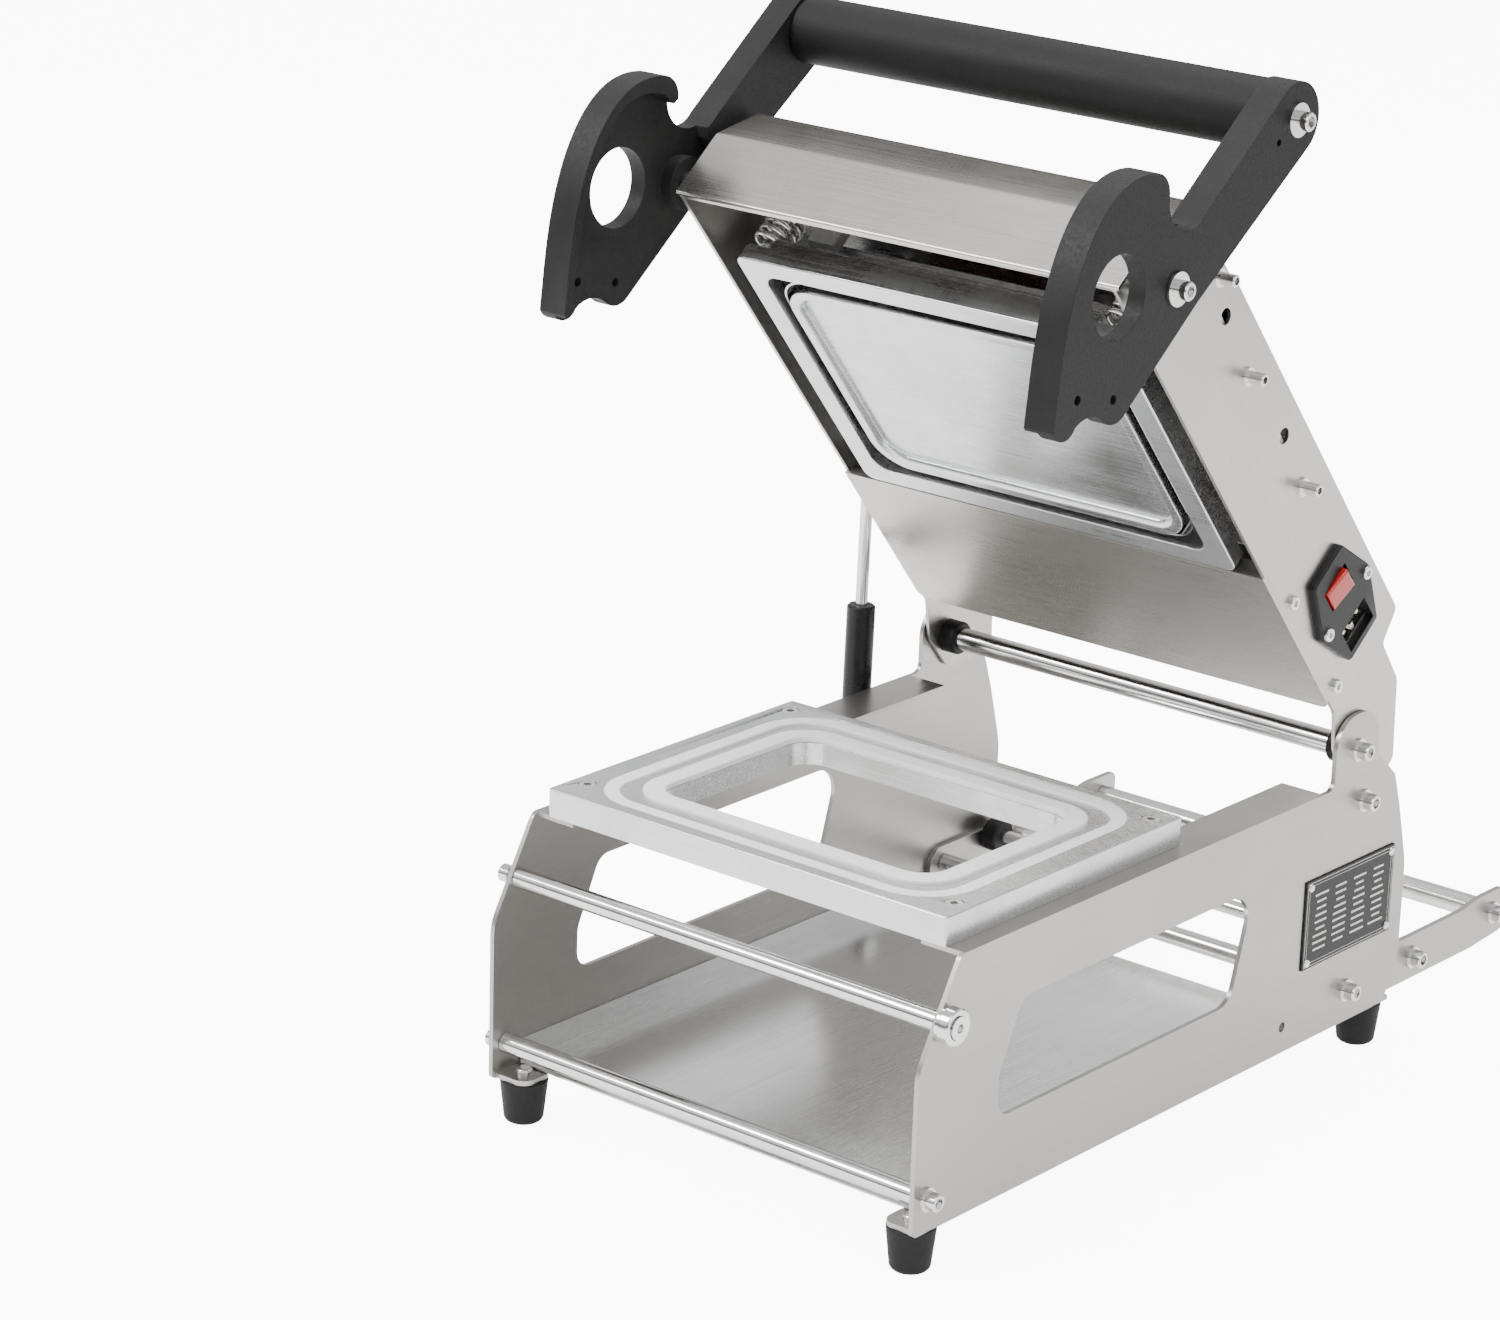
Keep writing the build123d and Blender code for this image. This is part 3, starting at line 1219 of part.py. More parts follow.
save("cam_lever_right", cam_lever(1), HEAD_PLACE)
save("cam_lever_left", cam_lever(-1), HEAD_PLACE)
save("grip_tube", grip_tube(), HEAD_PLACE)
save("grip_core", grip_core(), HEAD_PLACE)
save("grip_screws", both_sides(grip_screw), HEAD_PLACE)
save("rocker", rocker(), HEAD_PLACE)
save("strut_tube", strut_tube())
save("strut_rod", strut_rod())
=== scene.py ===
import json
import math

import bmesh
import bpy
from mathutils import Matrix, Vector

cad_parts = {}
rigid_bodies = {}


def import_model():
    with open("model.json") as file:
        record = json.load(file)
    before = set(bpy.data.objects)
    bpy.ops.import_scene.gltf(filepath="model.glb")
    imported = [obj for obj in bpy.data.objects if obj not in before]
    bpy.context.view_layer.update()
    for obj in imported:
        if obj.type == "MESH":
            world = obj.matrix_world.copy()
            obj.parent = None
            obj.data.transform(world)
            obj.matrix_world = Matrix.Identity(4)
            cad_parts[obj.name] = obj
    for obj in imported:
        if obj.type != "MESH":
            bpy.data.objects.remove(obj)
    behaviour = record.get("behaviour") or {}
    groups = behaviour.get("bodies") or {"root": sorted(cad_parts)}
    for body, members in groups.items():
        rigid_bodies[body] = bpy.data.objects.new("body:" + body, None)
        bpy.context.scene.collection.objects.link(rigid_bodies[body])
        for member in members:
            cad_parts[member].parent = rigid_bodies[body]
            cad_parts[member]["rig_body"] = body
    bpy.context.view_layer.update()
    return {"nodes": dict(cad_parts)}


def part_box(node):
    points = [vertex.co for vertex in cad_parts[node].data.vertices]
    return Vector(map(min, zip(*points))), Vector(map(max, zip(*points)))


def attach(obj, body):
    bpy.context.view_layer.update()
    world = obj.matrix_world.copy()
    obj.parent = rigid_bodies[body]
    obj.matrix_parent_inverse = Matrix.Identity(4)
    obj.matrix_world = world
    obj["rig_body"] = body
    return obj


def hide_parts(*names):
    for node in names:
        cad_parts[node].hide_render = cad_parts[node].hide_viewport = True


bl_info = {
    "name": "Tray Sealer",
    "version": (1, 0, 0),
    "blender": (4, 5, 0),
    "location": "3D View > Sidebar > Tray Sealer",
    "description": "Finishes and small parts of a lever sealer for film-lidded trays",
    "category": "Add Mesh",
}

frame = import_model()
NODES = frame["nodes"]
MM = 0.001

# lean of the open head about X, and the head's own upward direction
HEAD_LEAN = math.radians(-50.4)
HEAD_UP = Vector((0.0, -math.sin(HEAD_LEAN), math.cos(HEAD_LEAN)))

# stretched grain of brushed steel: along the depth of a sheet and across the machine
GRAIN_IN_DEPTH = (1500.0, 12.0, 1500.0)
GRAIN_ACROSS = (10.0, 1500.0, 1500.0)
# frame side plates and film arms: the brushed steel tint made about a fifth darker, painted shade
SIDE_STEEL_PAINTED_SHADE = (0.44, 0.425, 0.40)
TRAY_GRAIN = (1500.0, 9.0, 1500.0)
TRAY_STEEL = (0.74, 0.74, 0.74)

# node, radius and length of head, radius and thickness of washer, radius and length of shank, seed
CAP_SCREWS = (
    ("frame_screws", 4.4, 6.0, 4.4, 0.05, 2.9, 10.0, 3),
    ("head_screws", 3.0, 8.5, 4.6, 1.5, 1.9, 10.0, 5),
    ("grip_screws", 4.4, 6.0, 8.0, 1.5, 2.9, 16.0, 7),
    ("pivot_caps", 4.4, 6.0, 8.0, 1.5, 2.9, 0.2, 9),
)

# bright turned parts that keep the shape they come with
BRIGHT_NODES = (
    "front_rods", "rear_rods", "hinge_shaft", "film_end_rod", "film_spindle", "roller_pin", "cam_roller",
    "strut_low_stud", "strut_top_stud", "pivot_pins", "frame_washers", "head_bar", "grip_core",
    "strut_rod", "clamp_posts", "heater_posts",
)

# rating plate: insets and widths of its two borders, height of every line, rows and columns of bars
BORDERS = ((1.2 * MM, 0.3 * MM), (2.9 * MM, 0.2 * MM))
PRINT_H = 0.2 * MM
PRINT_SINK = 0.05 * MM
BAR_SIZE = (PRINT_H, 13.5 * MM, 1.1 * MM)
BAR_COLUMNS = 4
BAR_PITCH = 17.0 * MM
FIRST_COLUMN = 14.0 * MM
ROW_MARGIN = 9.0 * MM
BAR_SEED = 11

# floor glow for surfaces and for the camera, sky brightness by height, and the lights
FLOOR_REACH = 6.0
FLOOR_GLOW = (0.55, 9.0)
SKY_ENDS = ((0.30, 0.30, 0.31, 1.0), (1.0, 1.0, 1.0, 1.0))
SKY_BANDS = ((0.08, 0.10), (0.20, 0.35), (0.36, 1.30), (0.60, 0.70))
SKY_STRENGTH = 1.1
LIGHTS = (
    ("key", (-1.4, -1.9, 2.3), (0.0, 0.0, 0.25), (1.3, 1.0), 80.0),
    ("side", (2.4, -0.6, 1.5), (0.0, 0.0, 0.25), (1.0, 1.4), 10.0),
    ("top", (0.0, 0.2, 2.6), (0.0, 0.0, 0.2), (2.0, 2.0), 75.0),
)

# camera: place, angle round the machine, angle above it, roll, lens and sensor in millimetres
CAMERA_PLACE = (1.29451, -1.78557, 0.93460)
CAMERA_AROUND = 39.622
CAMERA_ABOVE = 18.402
CAMERA_ROLL = 1.731
CAMERA_LENS = 112.72
CAMERA_SENSOR = 36.0


# ------------------------------------------------------------------ sizes and colours

class SealerSettings(bpy.types.PropertyGroup):
    """Sizes and colours a user would change"""
    steel_tint: bpy.props.FloatVectorProperty(
        name="Steel", description="Tint of the brushed sheets", subtype="COLOR",
        default=(0.54, 0.52, 0.49))
    rod_tint: bpy.props.FloatVectorProperty(
        name="Bright Steel", description="Tint of rods and screws", subtype="COLOR",
        default=(0.80, 0.79, 0.78))
    aluminium_tint: bpy.props.FloatVectorProperty(
        name="Aluminium", description="Tint of the milled plates", subtype="COLOR",
        default=(0.70, 0.71, 0.72))
    silicone_tint: bpy.props.FloatVectorProperty(
        name="Silicone", description="Colour of the mould's rings", subtype="COLOR",
        default=(0.97, 0.97, 0.965))
    black_tint: bpy.props.FloatVectorProperty(
        name="Black", description="Colour of levers, grip and feet", subtype="COLOR",
        default=(0.0065, 0.0065, 0.0067))
    rocker_tint: bpy.props.FloatVectorProperty(
        name="Rocker", description="Colour of the power switch", subtype="COLOR",
        default=(0.42, 0.006, 0.005))
    edge_break: bpy.props.FloatProperty(
        name="Edge Break", description="Rounding of machined edges", unit="LENGTH", default=0.0006)
    lever_edge: bpy.props.FloatProperty(
        name="Lever Edge", description="Rounding of the cast levers' edges", unit="LENGTH", default=0.0011)
    coil_wire: bpy.props.FloatProperty(
        name="Spring Wire", description="Radius of the springs' wire", unit="LENGTH", default=0.0013)
    coil_turns: bpy.props.FloatProperty(
        name="Spring Turns", description="Turns of each spring", default=6.0)
    text_rows: bpy.props.IntProperty(
        name="Rating Rows", description="Rows of blank bars on the rating plate", default=9)


def settings():
    """The scene's sizes and colours."""
    return bpy.context.scene.sealer


# ------------------------------------------------------------------ finishes

class Finish:
    """A procedural material, put together node by node."""

    def __init__(self, name, colour, metallic, roughness):
        self.material = bpy.data.materials.new(name)
        self.material.use_nodes = True
        self.nodes = self.material.node_tree.nodes
        self.links = self.material.node_tree.links
        self.shader = self.nodes["Principled BSDF"]
        self.shader.inputs["Base Color"].default_value = (*colour, 1.0)
        self.shader.inputs["Metallic"].default_value = metallic
        self.shader.inputs["Roughness"].default_value = roughness
        self.colour = colour
        self.bumps = None

    def join(self, output, target):
        self.links.new(output, target)

    def noise(self, scale, detail=3.0, roughness=0.55, lean=0.0):
        """Noise in object space, stretched by a scale for each axis after a lean about X."""
        place = self.nodes.new("ShaderNodeTexCoord")
        turned = self.nodes.new("ShaderNodeMapping")
        turned.inputs["Rotation"].default_value = (lean, 0.0, 0.0)
        stretched = self.nodes.new("ShaderNodeMapping")
        stretched.inputs["Scale"].default_value = scale
        grain = self.nodes.new("ShaderNodeTexNoise")
        grain.inputs["Scale"].default_value = 1.0
        grain.inputs["Detail"].default_value = detail
        grain.inputs["Roughness"].default_value = roughness
        self.join(place.outputs["Object"], turned.inputs["Vector"])
        self.join(turned.outputs["Vector"], stretched.inputs["Vector"])
        self.join(stretched.outputs["Vector"], grain.inputs["Vector"])
        return grain.outputs["Fac"]

    def spread(self, value, low, high, start=0.3, end=0.7):
        """Maps a noise value to a range."""
        node = self.nodes.new("ShaderNodeMapRange")
        node.inputs["From Min"].default_value = start
        node.inputs["From Max"].default_value = end
        node.inputs["To Min"].default_value = low
        node.inputs["To Max"].default_value = high
        self.join(value, node.inputs["Value"])
        return node.outputs["Result"]

    def add(self, first, second):
        node = self.nodes.new("ShaderNodeMath")
        node.operation = "ADD"
        self.join(first, node.inputs[0])
        self.join(second, node.inputs[1])
        return node.outputs["Value"]

    def tint(self, value, other):
        """Blends the base colour towards another by a value."""
        node = self.nodes.new("ShaderNodeMix")
        node.data_type = "RGBA"
        sockets = [socket for socket in node.inputs if socket.type == "RGBA"]
        sockets[0].default_value = (*self.colour, 1.0)
        sockets[1].default_value = (*other, 1.0)
        self.join(value, node.inputs["Factor"])
        result = [socket for socket in node.outputs if socket.type == "RGBA"][0]
        self.join(result, self.shader.inputs["Base Color"])

    def bump(self, value, strength, depth):
        """Adds a bump on top of any bump already there."""
        node = self.nodes.new("ShaderNodeBump")
        node.inputs["Strength"].default_value = strength
        node.inputs["Distance"].default_value = depth
        self.join(value, node.inputs["Height"])
        if self.bumps:
            self.join(self.bumps, node.inputs["Normal"])
        self.bumps = node.outputs["Normal"]
        self.join(self.bumps, self.shader.inputs["Normal"])


def shade(colour, factor):
    return tuple(min(1.0, channel * factor) for channel in colour)


def brushed_finish(name, grain_scale, lean=0.0, roughness=(0.28, 0.36), tint=None):
    """Brushed stainless steel with fine grain, faint smears and small tonal drift."""
    colour = tint or tuple(settings().steel_tint)
    finish = Finish(name, colour, 1.0, 0.34)
    grain = finish.noise(grain_scale, 4.0, 0.6, lean)
    smear = finish.noise((7.0, 7.0, 7.0), 4.0, 0.6, lean)
    fine = finish.spread(grain, roughness[0], roughness[1])
    broad = finish.spread(smear, -0.03, 0.05)
    finish.join(finish.add(fine, broad), finish.shader.inputs["Roughness"])
    mixed = finish.add(finish.spread(grain, 0.0, 0.45), finish.spread(smear, 0.0, 0.55))
    finish.tint(mixed, shade(colour, 0.88))
    finish.bump(grain, 0.05, 0.00003)
    return finish.material


def bright_finish(name, lean=0.0):
    """Polished steel with faint drawing lines along X."""
    colour = tuple(settings().rod_tint)
    finish = Finish(name, colour, 1.0, 0.14)
    lines = finish.noise((20.0, 1400.0, 1400.0), 3.0, 0.6, lean)
    finish.join(finish.spread(lines, 0.09, 0.20), finish.shader.inputs["Roughness"])
    marks = finish.noise((60.0, 60.0, 60.0), 4.0, 0.6, lean)
    finish.tint(finish.spread(marks, 0.0, 1.0, 0.35, 0.8), shade(colour, 0.80))
    return finish.material


def milled_finish(name, lean=0.0, roughness=(0.22, 0.36)):
    """Milled aluminium with cutter lines and soft cloudy oxide."""
    colour = tuple(settings().aluminium_tint)
    finish = Finish(name, colour, 1.0, 0.28)
    lines = finish.noise((10.0, 900.0, 900.0), 3.0, 0.6, lean)
    cloud = finish.noise((20.0, 20.0, 20.0), 5.0, 0.65, lean)
    fine = finish.spread(lines, roughness[0], roughness[1])
    broad = finish.spread(cloud, -0.05, 0.08)
    finish.join(finish.add(fine, broad), finish.shader.inputs["Roughness"])
    finish.tint(finish.spread(cloud, 0.0, 1.0), shade(colour, 0.88))
    finish.bump(lines, 0.05, 0.00003)
    return finish.material


def silicone_finish(name):
    """White moulded silicone, slightly cloudy, with a soft sheen."""
    colour = tuple(settings().silicone_tint)
    finish = Finish(name, colour, 0.0, 0.42)
    cloud = finish.noise((70.0, 70.0, 70.0), 4.0)
    finish.join(finish.spread(cloud, 0.36, 0.52), finish.shader.inputs["Roughness"])
    finish.tint(finish.spread(cloud, 0.0, 1.0), shade(colour, 0.94))
    finish.bump(finish.noise((900.0, 900.0, 900.0), 2.0), 0.06, 0.00005)
    finish.shader.inputs["Subsurface Weight"].default_value = 0.05
    finish.shader.inputs["Subsurface Scale"].default_value = 0.004
    return finish.material


def black_finish(name, roughness, grain, depth, lift=1.9):
    """Black surface with a grain of its own size and dusty lighter patches."""
    colour = tuple(settings().black_tint)
    finish = Finish(name, colour, 0.0, sum(roughness) / 2)
    pores = finish.noise((grain, grain, grain), 4.0, 0.65)
    dust = finish.noise((22.0, 22.0, 22.0), 5.0, 0.6)
    fine = finish.spread(pores, roughness[0], roughness[1])
    finish.join(finish.add(fine, finish.spread(dust, -0.04, 0.06)), finish.shader.inputs["Roughness"])
    finish.tint(finish.spread(dust, 0.0, 1.0), shade(colour, lift))
    finish.bump(pores, 0.35, depth)
    finish.shader.inputs["Specular IOR Level"].default_value = 0.22
    return finish.material


def plain_finish(name, colour, roughness, metallic=0.0):
    """Small moulded or plated piece with a fine grain."""
    finish = Finish(name, colour, metallic, roughness)
    grain = finish.noise((500.0, 500.0, 500.0), 3.0)
    finish.join(finish.spread(grain, roughness * 0.85, roughness * 1.2), finish.shader.inputs["Roughness"])
    finish.tint(finish.spread(grain, 0.0, 1.0), shade(colour, 0.9))
    return finish.material


# ------------------------------------------------------------------ pieces

def dress(node, material):
    """Gives a node of the model a finish as it is."""
    data = NODES[node].data
    data.materials.clear()
    data.materials.append(material)


def keep(piece, node):
    """Makes a piece stand for a node: same body, node hidden."""
    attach(piece, NODES[node]["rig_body"])
    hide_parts(node)
    return piece


def new_piece(name, mesh, material):
    """Object at the origin from a mesh in place."""
    mesh.materials.clear()
    mesh.materials.append(material)
    piece = bpy.data.objects.new(name, mesh)
    bpy.context.scene.collection.objects.link(piece)
    return piece


def smooth(mesh, angle=32.0):
    """Smooth shading with edges sharper than an angle kept crisp."""
    mesh.polygons.foreach_set("use_smooth", [True] * len(mesh.polygons))
    mesh.set_sharp_from_angle(angle=math.radians(angle))


def softened(node, material, width, segments=2):
    """Copy of a node with its flat faces made whole and its edges broken by a small bevel."""
    shape = bmesh.new()
    shape.from_mesh(NODES[node].data)
    bmesh.ops.remove_doubles(shape, verts=shape.verts, dist=1e-6)
    bmesh.ops.dissolve_limit(
        shape, angle_limit=math.radians(0.8), verts=shape.verts, edges=shape.edges, delimit={"NORMAL"})
    mesh = bpy.data.meshes.new(node + "_soft")
    shape.to_mesh(mesh)
    shape.free()
    smooth(mesh)
    piece = new_piece(node + "_finished", mesh, material)
    edge = piece.modifiers.new("edge_break", "BEVEL")
    edge.width = width
    edge.segments = segments
    edge.limit_method = "ANGLE"
    edge.angle_limit = math.radians(40.0)
    edge.use_clamp_overlap = True
    edge.harden_normals = True
    return keep(piece, node)


def islands(node):
    """Lowest corner, highest corner and points of each separate solid of a node."""
    shape = bmesh.new()
    shape.from_mesh(NODES[node].data)
    bmesh.ops.remove_doubles(shape, verts=shape.verts, dist=1e-6)
    shape.verts.index_update()
    seen = set()
    found = []
    for first in shape.verts:
        if first.index in seen:
            continue
        seen.add(first.index)
        stack = [first]
        group = []
        while stack:
            vert = stack.pop()
            group.append(vert.co.copy())
            for edge in vert.link_edges:
                other = edge.other_vert(vert)
                if other.index not in seen:
                    seen.add(other.index)
                    stack.append(other)
        low = Vector(min(co[i] for co in group) for i in range(3))
        high = Vector(max(co[i] for co in group) for i in range(3))
        found.append((low, high, group))
    shape.free()
    found.sort(key=lambda entry: tuple(entry[0]))
    return found


def lathe(rings, steps, knurl=0.0):
    """Mesh turned about X from (place, radius, six_sided) rings, closed at both ends."""
    shape = bmesh.new()
    made = []
    for place, radius, six_sided in rings:
        ring = []
        for i in range(steps):
            angle = 2 * math.pi * i / steps
            reach = radius
            if six_sided:
                reach = radius / math.cos((angle % (math.pi / 3)) - math.pi / 6)
            elif knurl and i % 2:
                reach = radius - knurl
            ring.append(shape.verts.new((place, reach * math.cos(angle), reach * math.sin(angle))))
        made.append(ring)
    for first, second in zip(made, made[1:]):
        for i in range(steps):
            j = (i + 1) % steps
            shape.faces.new((first[i], first[j], second[j], second[i]))
    shape.faces.new(list(reversed(made[0])))
    shape.faces.new(made[-1])
    bmesh.ops.recalc_face_normals(shape, faces=shape.faces)
    mesh = bpy.data.meshes.new("turned")
    shape.to_mesh(mesh)
    shape.free()
    smooth(mesh, 40.0)
    return mesh


def cap_screw_mesh(head_r, head_l, washer_r, washer_t, shank_r, shank_l):
    """Socket cap screw along X, outer face at 0, with a washer under its head and a short shank."""
    socket = head_r * 0.56
    edge = head_r * 0.12
    rings = [
        (-head_l - washer_t - shank_l, shank_r, False),
        (-head_l - washer_t, shank_r, False),
        (-head_l - washer_t, washer_r, False),
        (-head_l, washer_r, False),
        (-head_l, head_r, False),
        (-edge, head_r, False),
        (0.0, head_r - edge, False),
        (0.0, socket, True),
        (-head_l * 0.55, socket, True),
        (-head_l * 0.62, socket * 0.2, False),
    ]
    return lathe(rings, 48, head_r * 0.012)


def node_tree(name, sockets):
    """Empty geometry tree with named inputs."""
    tree = bpy.data.node_groups.new(name, "GeometryNodeTree")
    tree.interface.new_socket("Geometry", in_out="INPUT", socket_type="NodeSocketGeometry")
    for label, kind in sockets:
        tree.interface.new_socket(label, in_out="INPUT", socket_type=kind)
    tree.interface.new_socket("Geometry", in_out="OUTPUT", socket_type="NodeSocketGeometry")
    return tree, tree.nodes.new("NodeGroupInput"), tree.nodes.new("NodeGroupOutput")


def run_tree(name, tree, places, turns, values, material):
    """Runs a tree on a cloud of points and gives back one plain piece."""
    cloud = bpy.data.meshes.new(name + "_points")
    cloud.from_pydata([tuple(place) for place in places], [], [])
    turn = cloud.attributes.new("turn", "FLOAT_VECTOR", "POINT")
    turn.data.foreach_set("vector", [value for entry in turns for value in entry])
    carrier = bpy.data.objects.new(name + "_carrier", cloud)
    bpy.context.scene.collection.objects.link(carrier)
    modifier = carrier.modifiers.new("repeat", "NODES")
    modifier.node_group = tree
    for item in tree.interface.items_tree:
        if item.in_out == "INPUT" and item.name in values:
            modifier[item.identifier] = values[item.name]
    bpy.context.view_layer.update()
    evaluated = carrier.evaluated_get(bpy.context.evaluated_depsgraph_get())
    mesh = bpy.data.meshes.new_from_object(evaluated)
    carrier.modifiers.clear()
    bpy.data.objects.remove(carrier)
    if not mesh.polygons:
        raise RuntimeError(name + " came out empty")
    smooth(mesh, 40.0)
    return new_piece(name, mesh, material)


def finish_tree(tree, group_in, group_out, geometry):
    """Closes a tree with real geometry and its material."""
    real = tree.nodes.new("GeometryNodeRealizeInstances")
    paint = tree.nodes.new("GeometryNodeSetMaterial")
    tree.links.new(geometry, real.inputs["Geometry"])
    tree.links.new(real.outputs["Geometry"], paint.inputs["Geometry"])
    tree.links.new(group_in.outputs["Finish"], paint.inputs["Material"])
    tree.links.new(paint.outputs["Geometry"], group_out.inputs["Geometry"])


def turned_points(tree, group_in, instance):
    """Instances on the incoming points, each turned by its own attribute."""
    on_points = tree.nodes.new("GeometryNodeInstanceOnPoints")
    turn = tree.nodes.new("GeometryNodeInputNamedAttribute")
    turn.data_type = "FLOAT_VECTOR"
    turn.inputs["Name"].default_value = "turn"
    to_rotation = tree.nodes.new("FunctionNodeEulerToRotation")
    tree.links.new(turn.outputs["Attribute"], to_rotation.inputs[0])
    tree.links.new(to_rotation.outputs[0], on_points.inputs["Rotation"])
    tree.links.new(group_in.outputs["Geometry"], on_points.inputs["Points"])
    tree.links.new(instance, on_points.inputs["Instance"])
    return on_points.outputs["Instances"]


def fastener_tree():
    """Places copies of one fastener, each spun about its own axis by a fixed seed."""
    tree, group_in, group_out = node_tree("fasteners", [
        ("Fastener", "NodeSocketObject"), ("Seed", "NodeSocketInt"), ("Finish", "NodeSocketMaterial")])
    info = tree.nodes.new("GeometryNodeObjectInfo")
    tree.links.new(group_in.outputs["Fastener"], info.inputs["Object"])
    placed = turned_points(tree, group_in, info.outputs["Geometry"])
    spin = tree.nodes.new("FunctionNodeRandomValue")
    spin.data_type = "FLOAT"
    spin.inputs[3].default_value = 1.0
    tree.links.new(group_in.outputs["Seed"], spin.inputs["Seed"])
    about = tree.nodes.new("ShaderNodeCombineXYZ")
    tree.links.new(spin.outputs[1], about.inputs["X"])
    rotate = tree.nodes.new("GeometryNodeRotateInstances")
    tree.links.new(placed, rotate.inputs["Instances"])
    tree.links.new(about.outputs["Vector"], rotate.inputs["Rotation"])
    finish_tree(tree, group_in, group_out, rotate.outputs["Instances"])
    return tree


def coil_tree():
    """Wire springs that stand on the incoming points."""
    tree, group_in, group_out = node_tree("coils", [
        ("Radius", "NodeSocketFloat"), ("Wire", "NodeSocketFloat"), ("Length", "NodeSocketFloat"),
        ("Turns", "NodeSocketFloat"), ("Finish", "NodeSocketMaterial")])
    spiral = tree.nodes.new("GeometryNodeCurveSpiral")
    spiral.inputs["Resolution"].default_value = 28
    tree.links.new(group_in.outputs["Turns"], spiral.inputs["Rotations"])
    tree.links.new(group_in.outputs["Radius"], spiral.inputs["Start Radius"])
    tree.links.new(group_in.outputs["Radius"], spiral.inputs["End Radius"])
    tree.links.new(group_in.outputs["Length"], spiral.inputs["Height"])
    section = tree.nodes.new("GeometryNodeCurvePrimitiveCircle")
    section.inputs["Resolution"].default_value = 10
    tree.links.new(group_in.outputs["Wire"], section.inputs["Radius"])
    wire = tree.nodes.new("GeometryNodeCurveToMesh")
    wire.inputs["Fill Caps"].default_value = True
    tree.links.new(spiral.outputs["Curve"], wire.inputs["Curve"])
    tree.links.new(section.outputs["Curve"], wire.inputs["Profile Curve"])
    finish_tree(tree, group_in, group_out, turned_points(tree, group_in, wire.outputs["Mesh"]))
    return tree


def screws(node, mesh, material, seed):
    """Replaces the screws of a node by finished ones on the same axes and outer faces."""
    pattern = bpy.data.objects.new(node + "_pattern", mesh)
    bpy.context.scene.collection.objects.link(pattern)
    places = []
    turns = []
    for low, high, _ in islands(node):
        right = high.x + low.x > 0
        places.append((high.x if right else low.x, (low.y + high.y) / 2, (low.z + high.z) / 2))
        turns.append((0.0, 0.0, 0.0 if right else math.pi))
    values = {"Fastener": pattern, "Seed": seed, "Finish": material}
    piece = run_tree(node + "_finished", fastener_tree(), places, turns, values, material)
    bpy.data.objects.remove(pattern)
    return keep(piece, node)


def coils(node, material, turns):
    """Replaces a set of springs by round wire ones of the same outside size."""
    wire = settings().coil_wire
    places = []
    for _, _, points in islands(node):
        centre = sum(points, Vector()) / len(points)
        heights = [point.dot(HEAD_UP) for point in points]
        length = max(heights) - min(heights)
        foot = centre + HEAD_UP * (min(heights) + wire - centre.dot(HEAD_UP))
        radius = max(abs(point.x - centre.x) for point in points) - wire
        places.append(foot)
    lean = [(HEAD_LEAN, 0.0, 0.0)] * len(places)
    values = {
        "Radius": radius, "Wire": wire, "Length": length - 2 * wire, "Turns": turns, "Finish": material}
    return keep(run_tree(node + "_finished", coil_tree(), places, lean, values, material), node)


# ------------------------------------------------------------------ operators

class SEALER_OT_sheets(bpy.types.Operator):
    """Brushed side plates, base tray and film arms"""
    bl_idname = "sealer.sheets"
    bl_label = "Frame Sheets"

    def execute(self, context):
        # side plates and film arms take the darker steel tint, painted shade on these sheets
        side = brushed_finish("side_sheet_steel_painted_shade", GRAIN_IN_DEPTH, tint=SIDE_STEEL_PAINTED_SHADE)
        floor = brushed_finish("tray_sheet_steel", TRAY_GRAIN, roughness=(0.20, 0.28), tint=TRAY_STEEL)
        for node in ("right_side_plate", "left_side_plate", "film_arm_right", "film_arm_left"):
            softened(node, side, 0.0004)
        softened("base_tray", floor, 0.0003)
        return {"FINISHED"}


class SEALER_OT_rods(bpy.types.Operator):
    """Bright tie rods, shaft, rollers and studs"""
    bl_idname = "sealer.rods"
    bl_label = "Rods and Rollers"

    def execute(self, context):
        bright = bright_finish("bright_steel")
        for node in BRIGHT_NODES:
            dress(node, bright)
        black = black_finish("collar_plastic", (0.35, 0.5), 1200.0, 0.00004)
        for node in ("spindle_collars", "hinge_bushes"):
            dress(node, black)
        return {"FINISHED"}


class SEALER_OT_fasteners(bpy.types.Operator):
    """Cap screws and small screws"""
    bl_idname = "sealer.fasteners"
    bl_label = "Fasteners"

    def execute(self, context):
        bright = bright_finish("screw_steel")
        for node, *sizes, seed in CAP_SCREWS:
            screws(node, cap_screw_mesh(*(size * MM for size in sizes)), bright, seed)
        for node in ("head_small_screws", "mould_screws", "foot_screws", "rating_rivets"):
            dress(node, bright)
        return {"FINISHED"}


class SEALER_OT_mould(bpy.types.Operator):
    """Milled mould plate and its silicone rings"""
    bl_idname = "sealer.mould"
    bl_label = "Mould"

    def execute(self, context):
        milled = milled_finish("mould_aluminium", roughness=(0.20, 0.32))
        softened("mould_plate", milled, settings().edge_break)
        silicone = silicone_finish("ring_silicone")
        softened("cutting_ring", silicone, 0.0006, 3)
        softened("sealing_gasket", silicone, 0.0007, 3)
        return {"FINISHED"}


class SEALER_OT_head(bpy.types.Operator):
    """Brushed sheets of the head"""
    bl_idname = "sealer.head"
    bl_label = "Head Sheets"

    def execute(self, context):
        side = brushed_finish("head_side_steel", GRAIN_IN_DEPTH, -HEAD_LEAN)
        cross = brushed_finish("head_cross_steel", GRAIN_ACROSS, -HEAD_LEAN, (0.24, 0.32))
        for node in ("head_plate_right", "head_plate_left"):
            softened(node, side, 0.0004)
        for node in ("hood", "top_cover", "bottom_panel"):
            softened(node, cross, 0.0004)
        return {"FINISHED"}


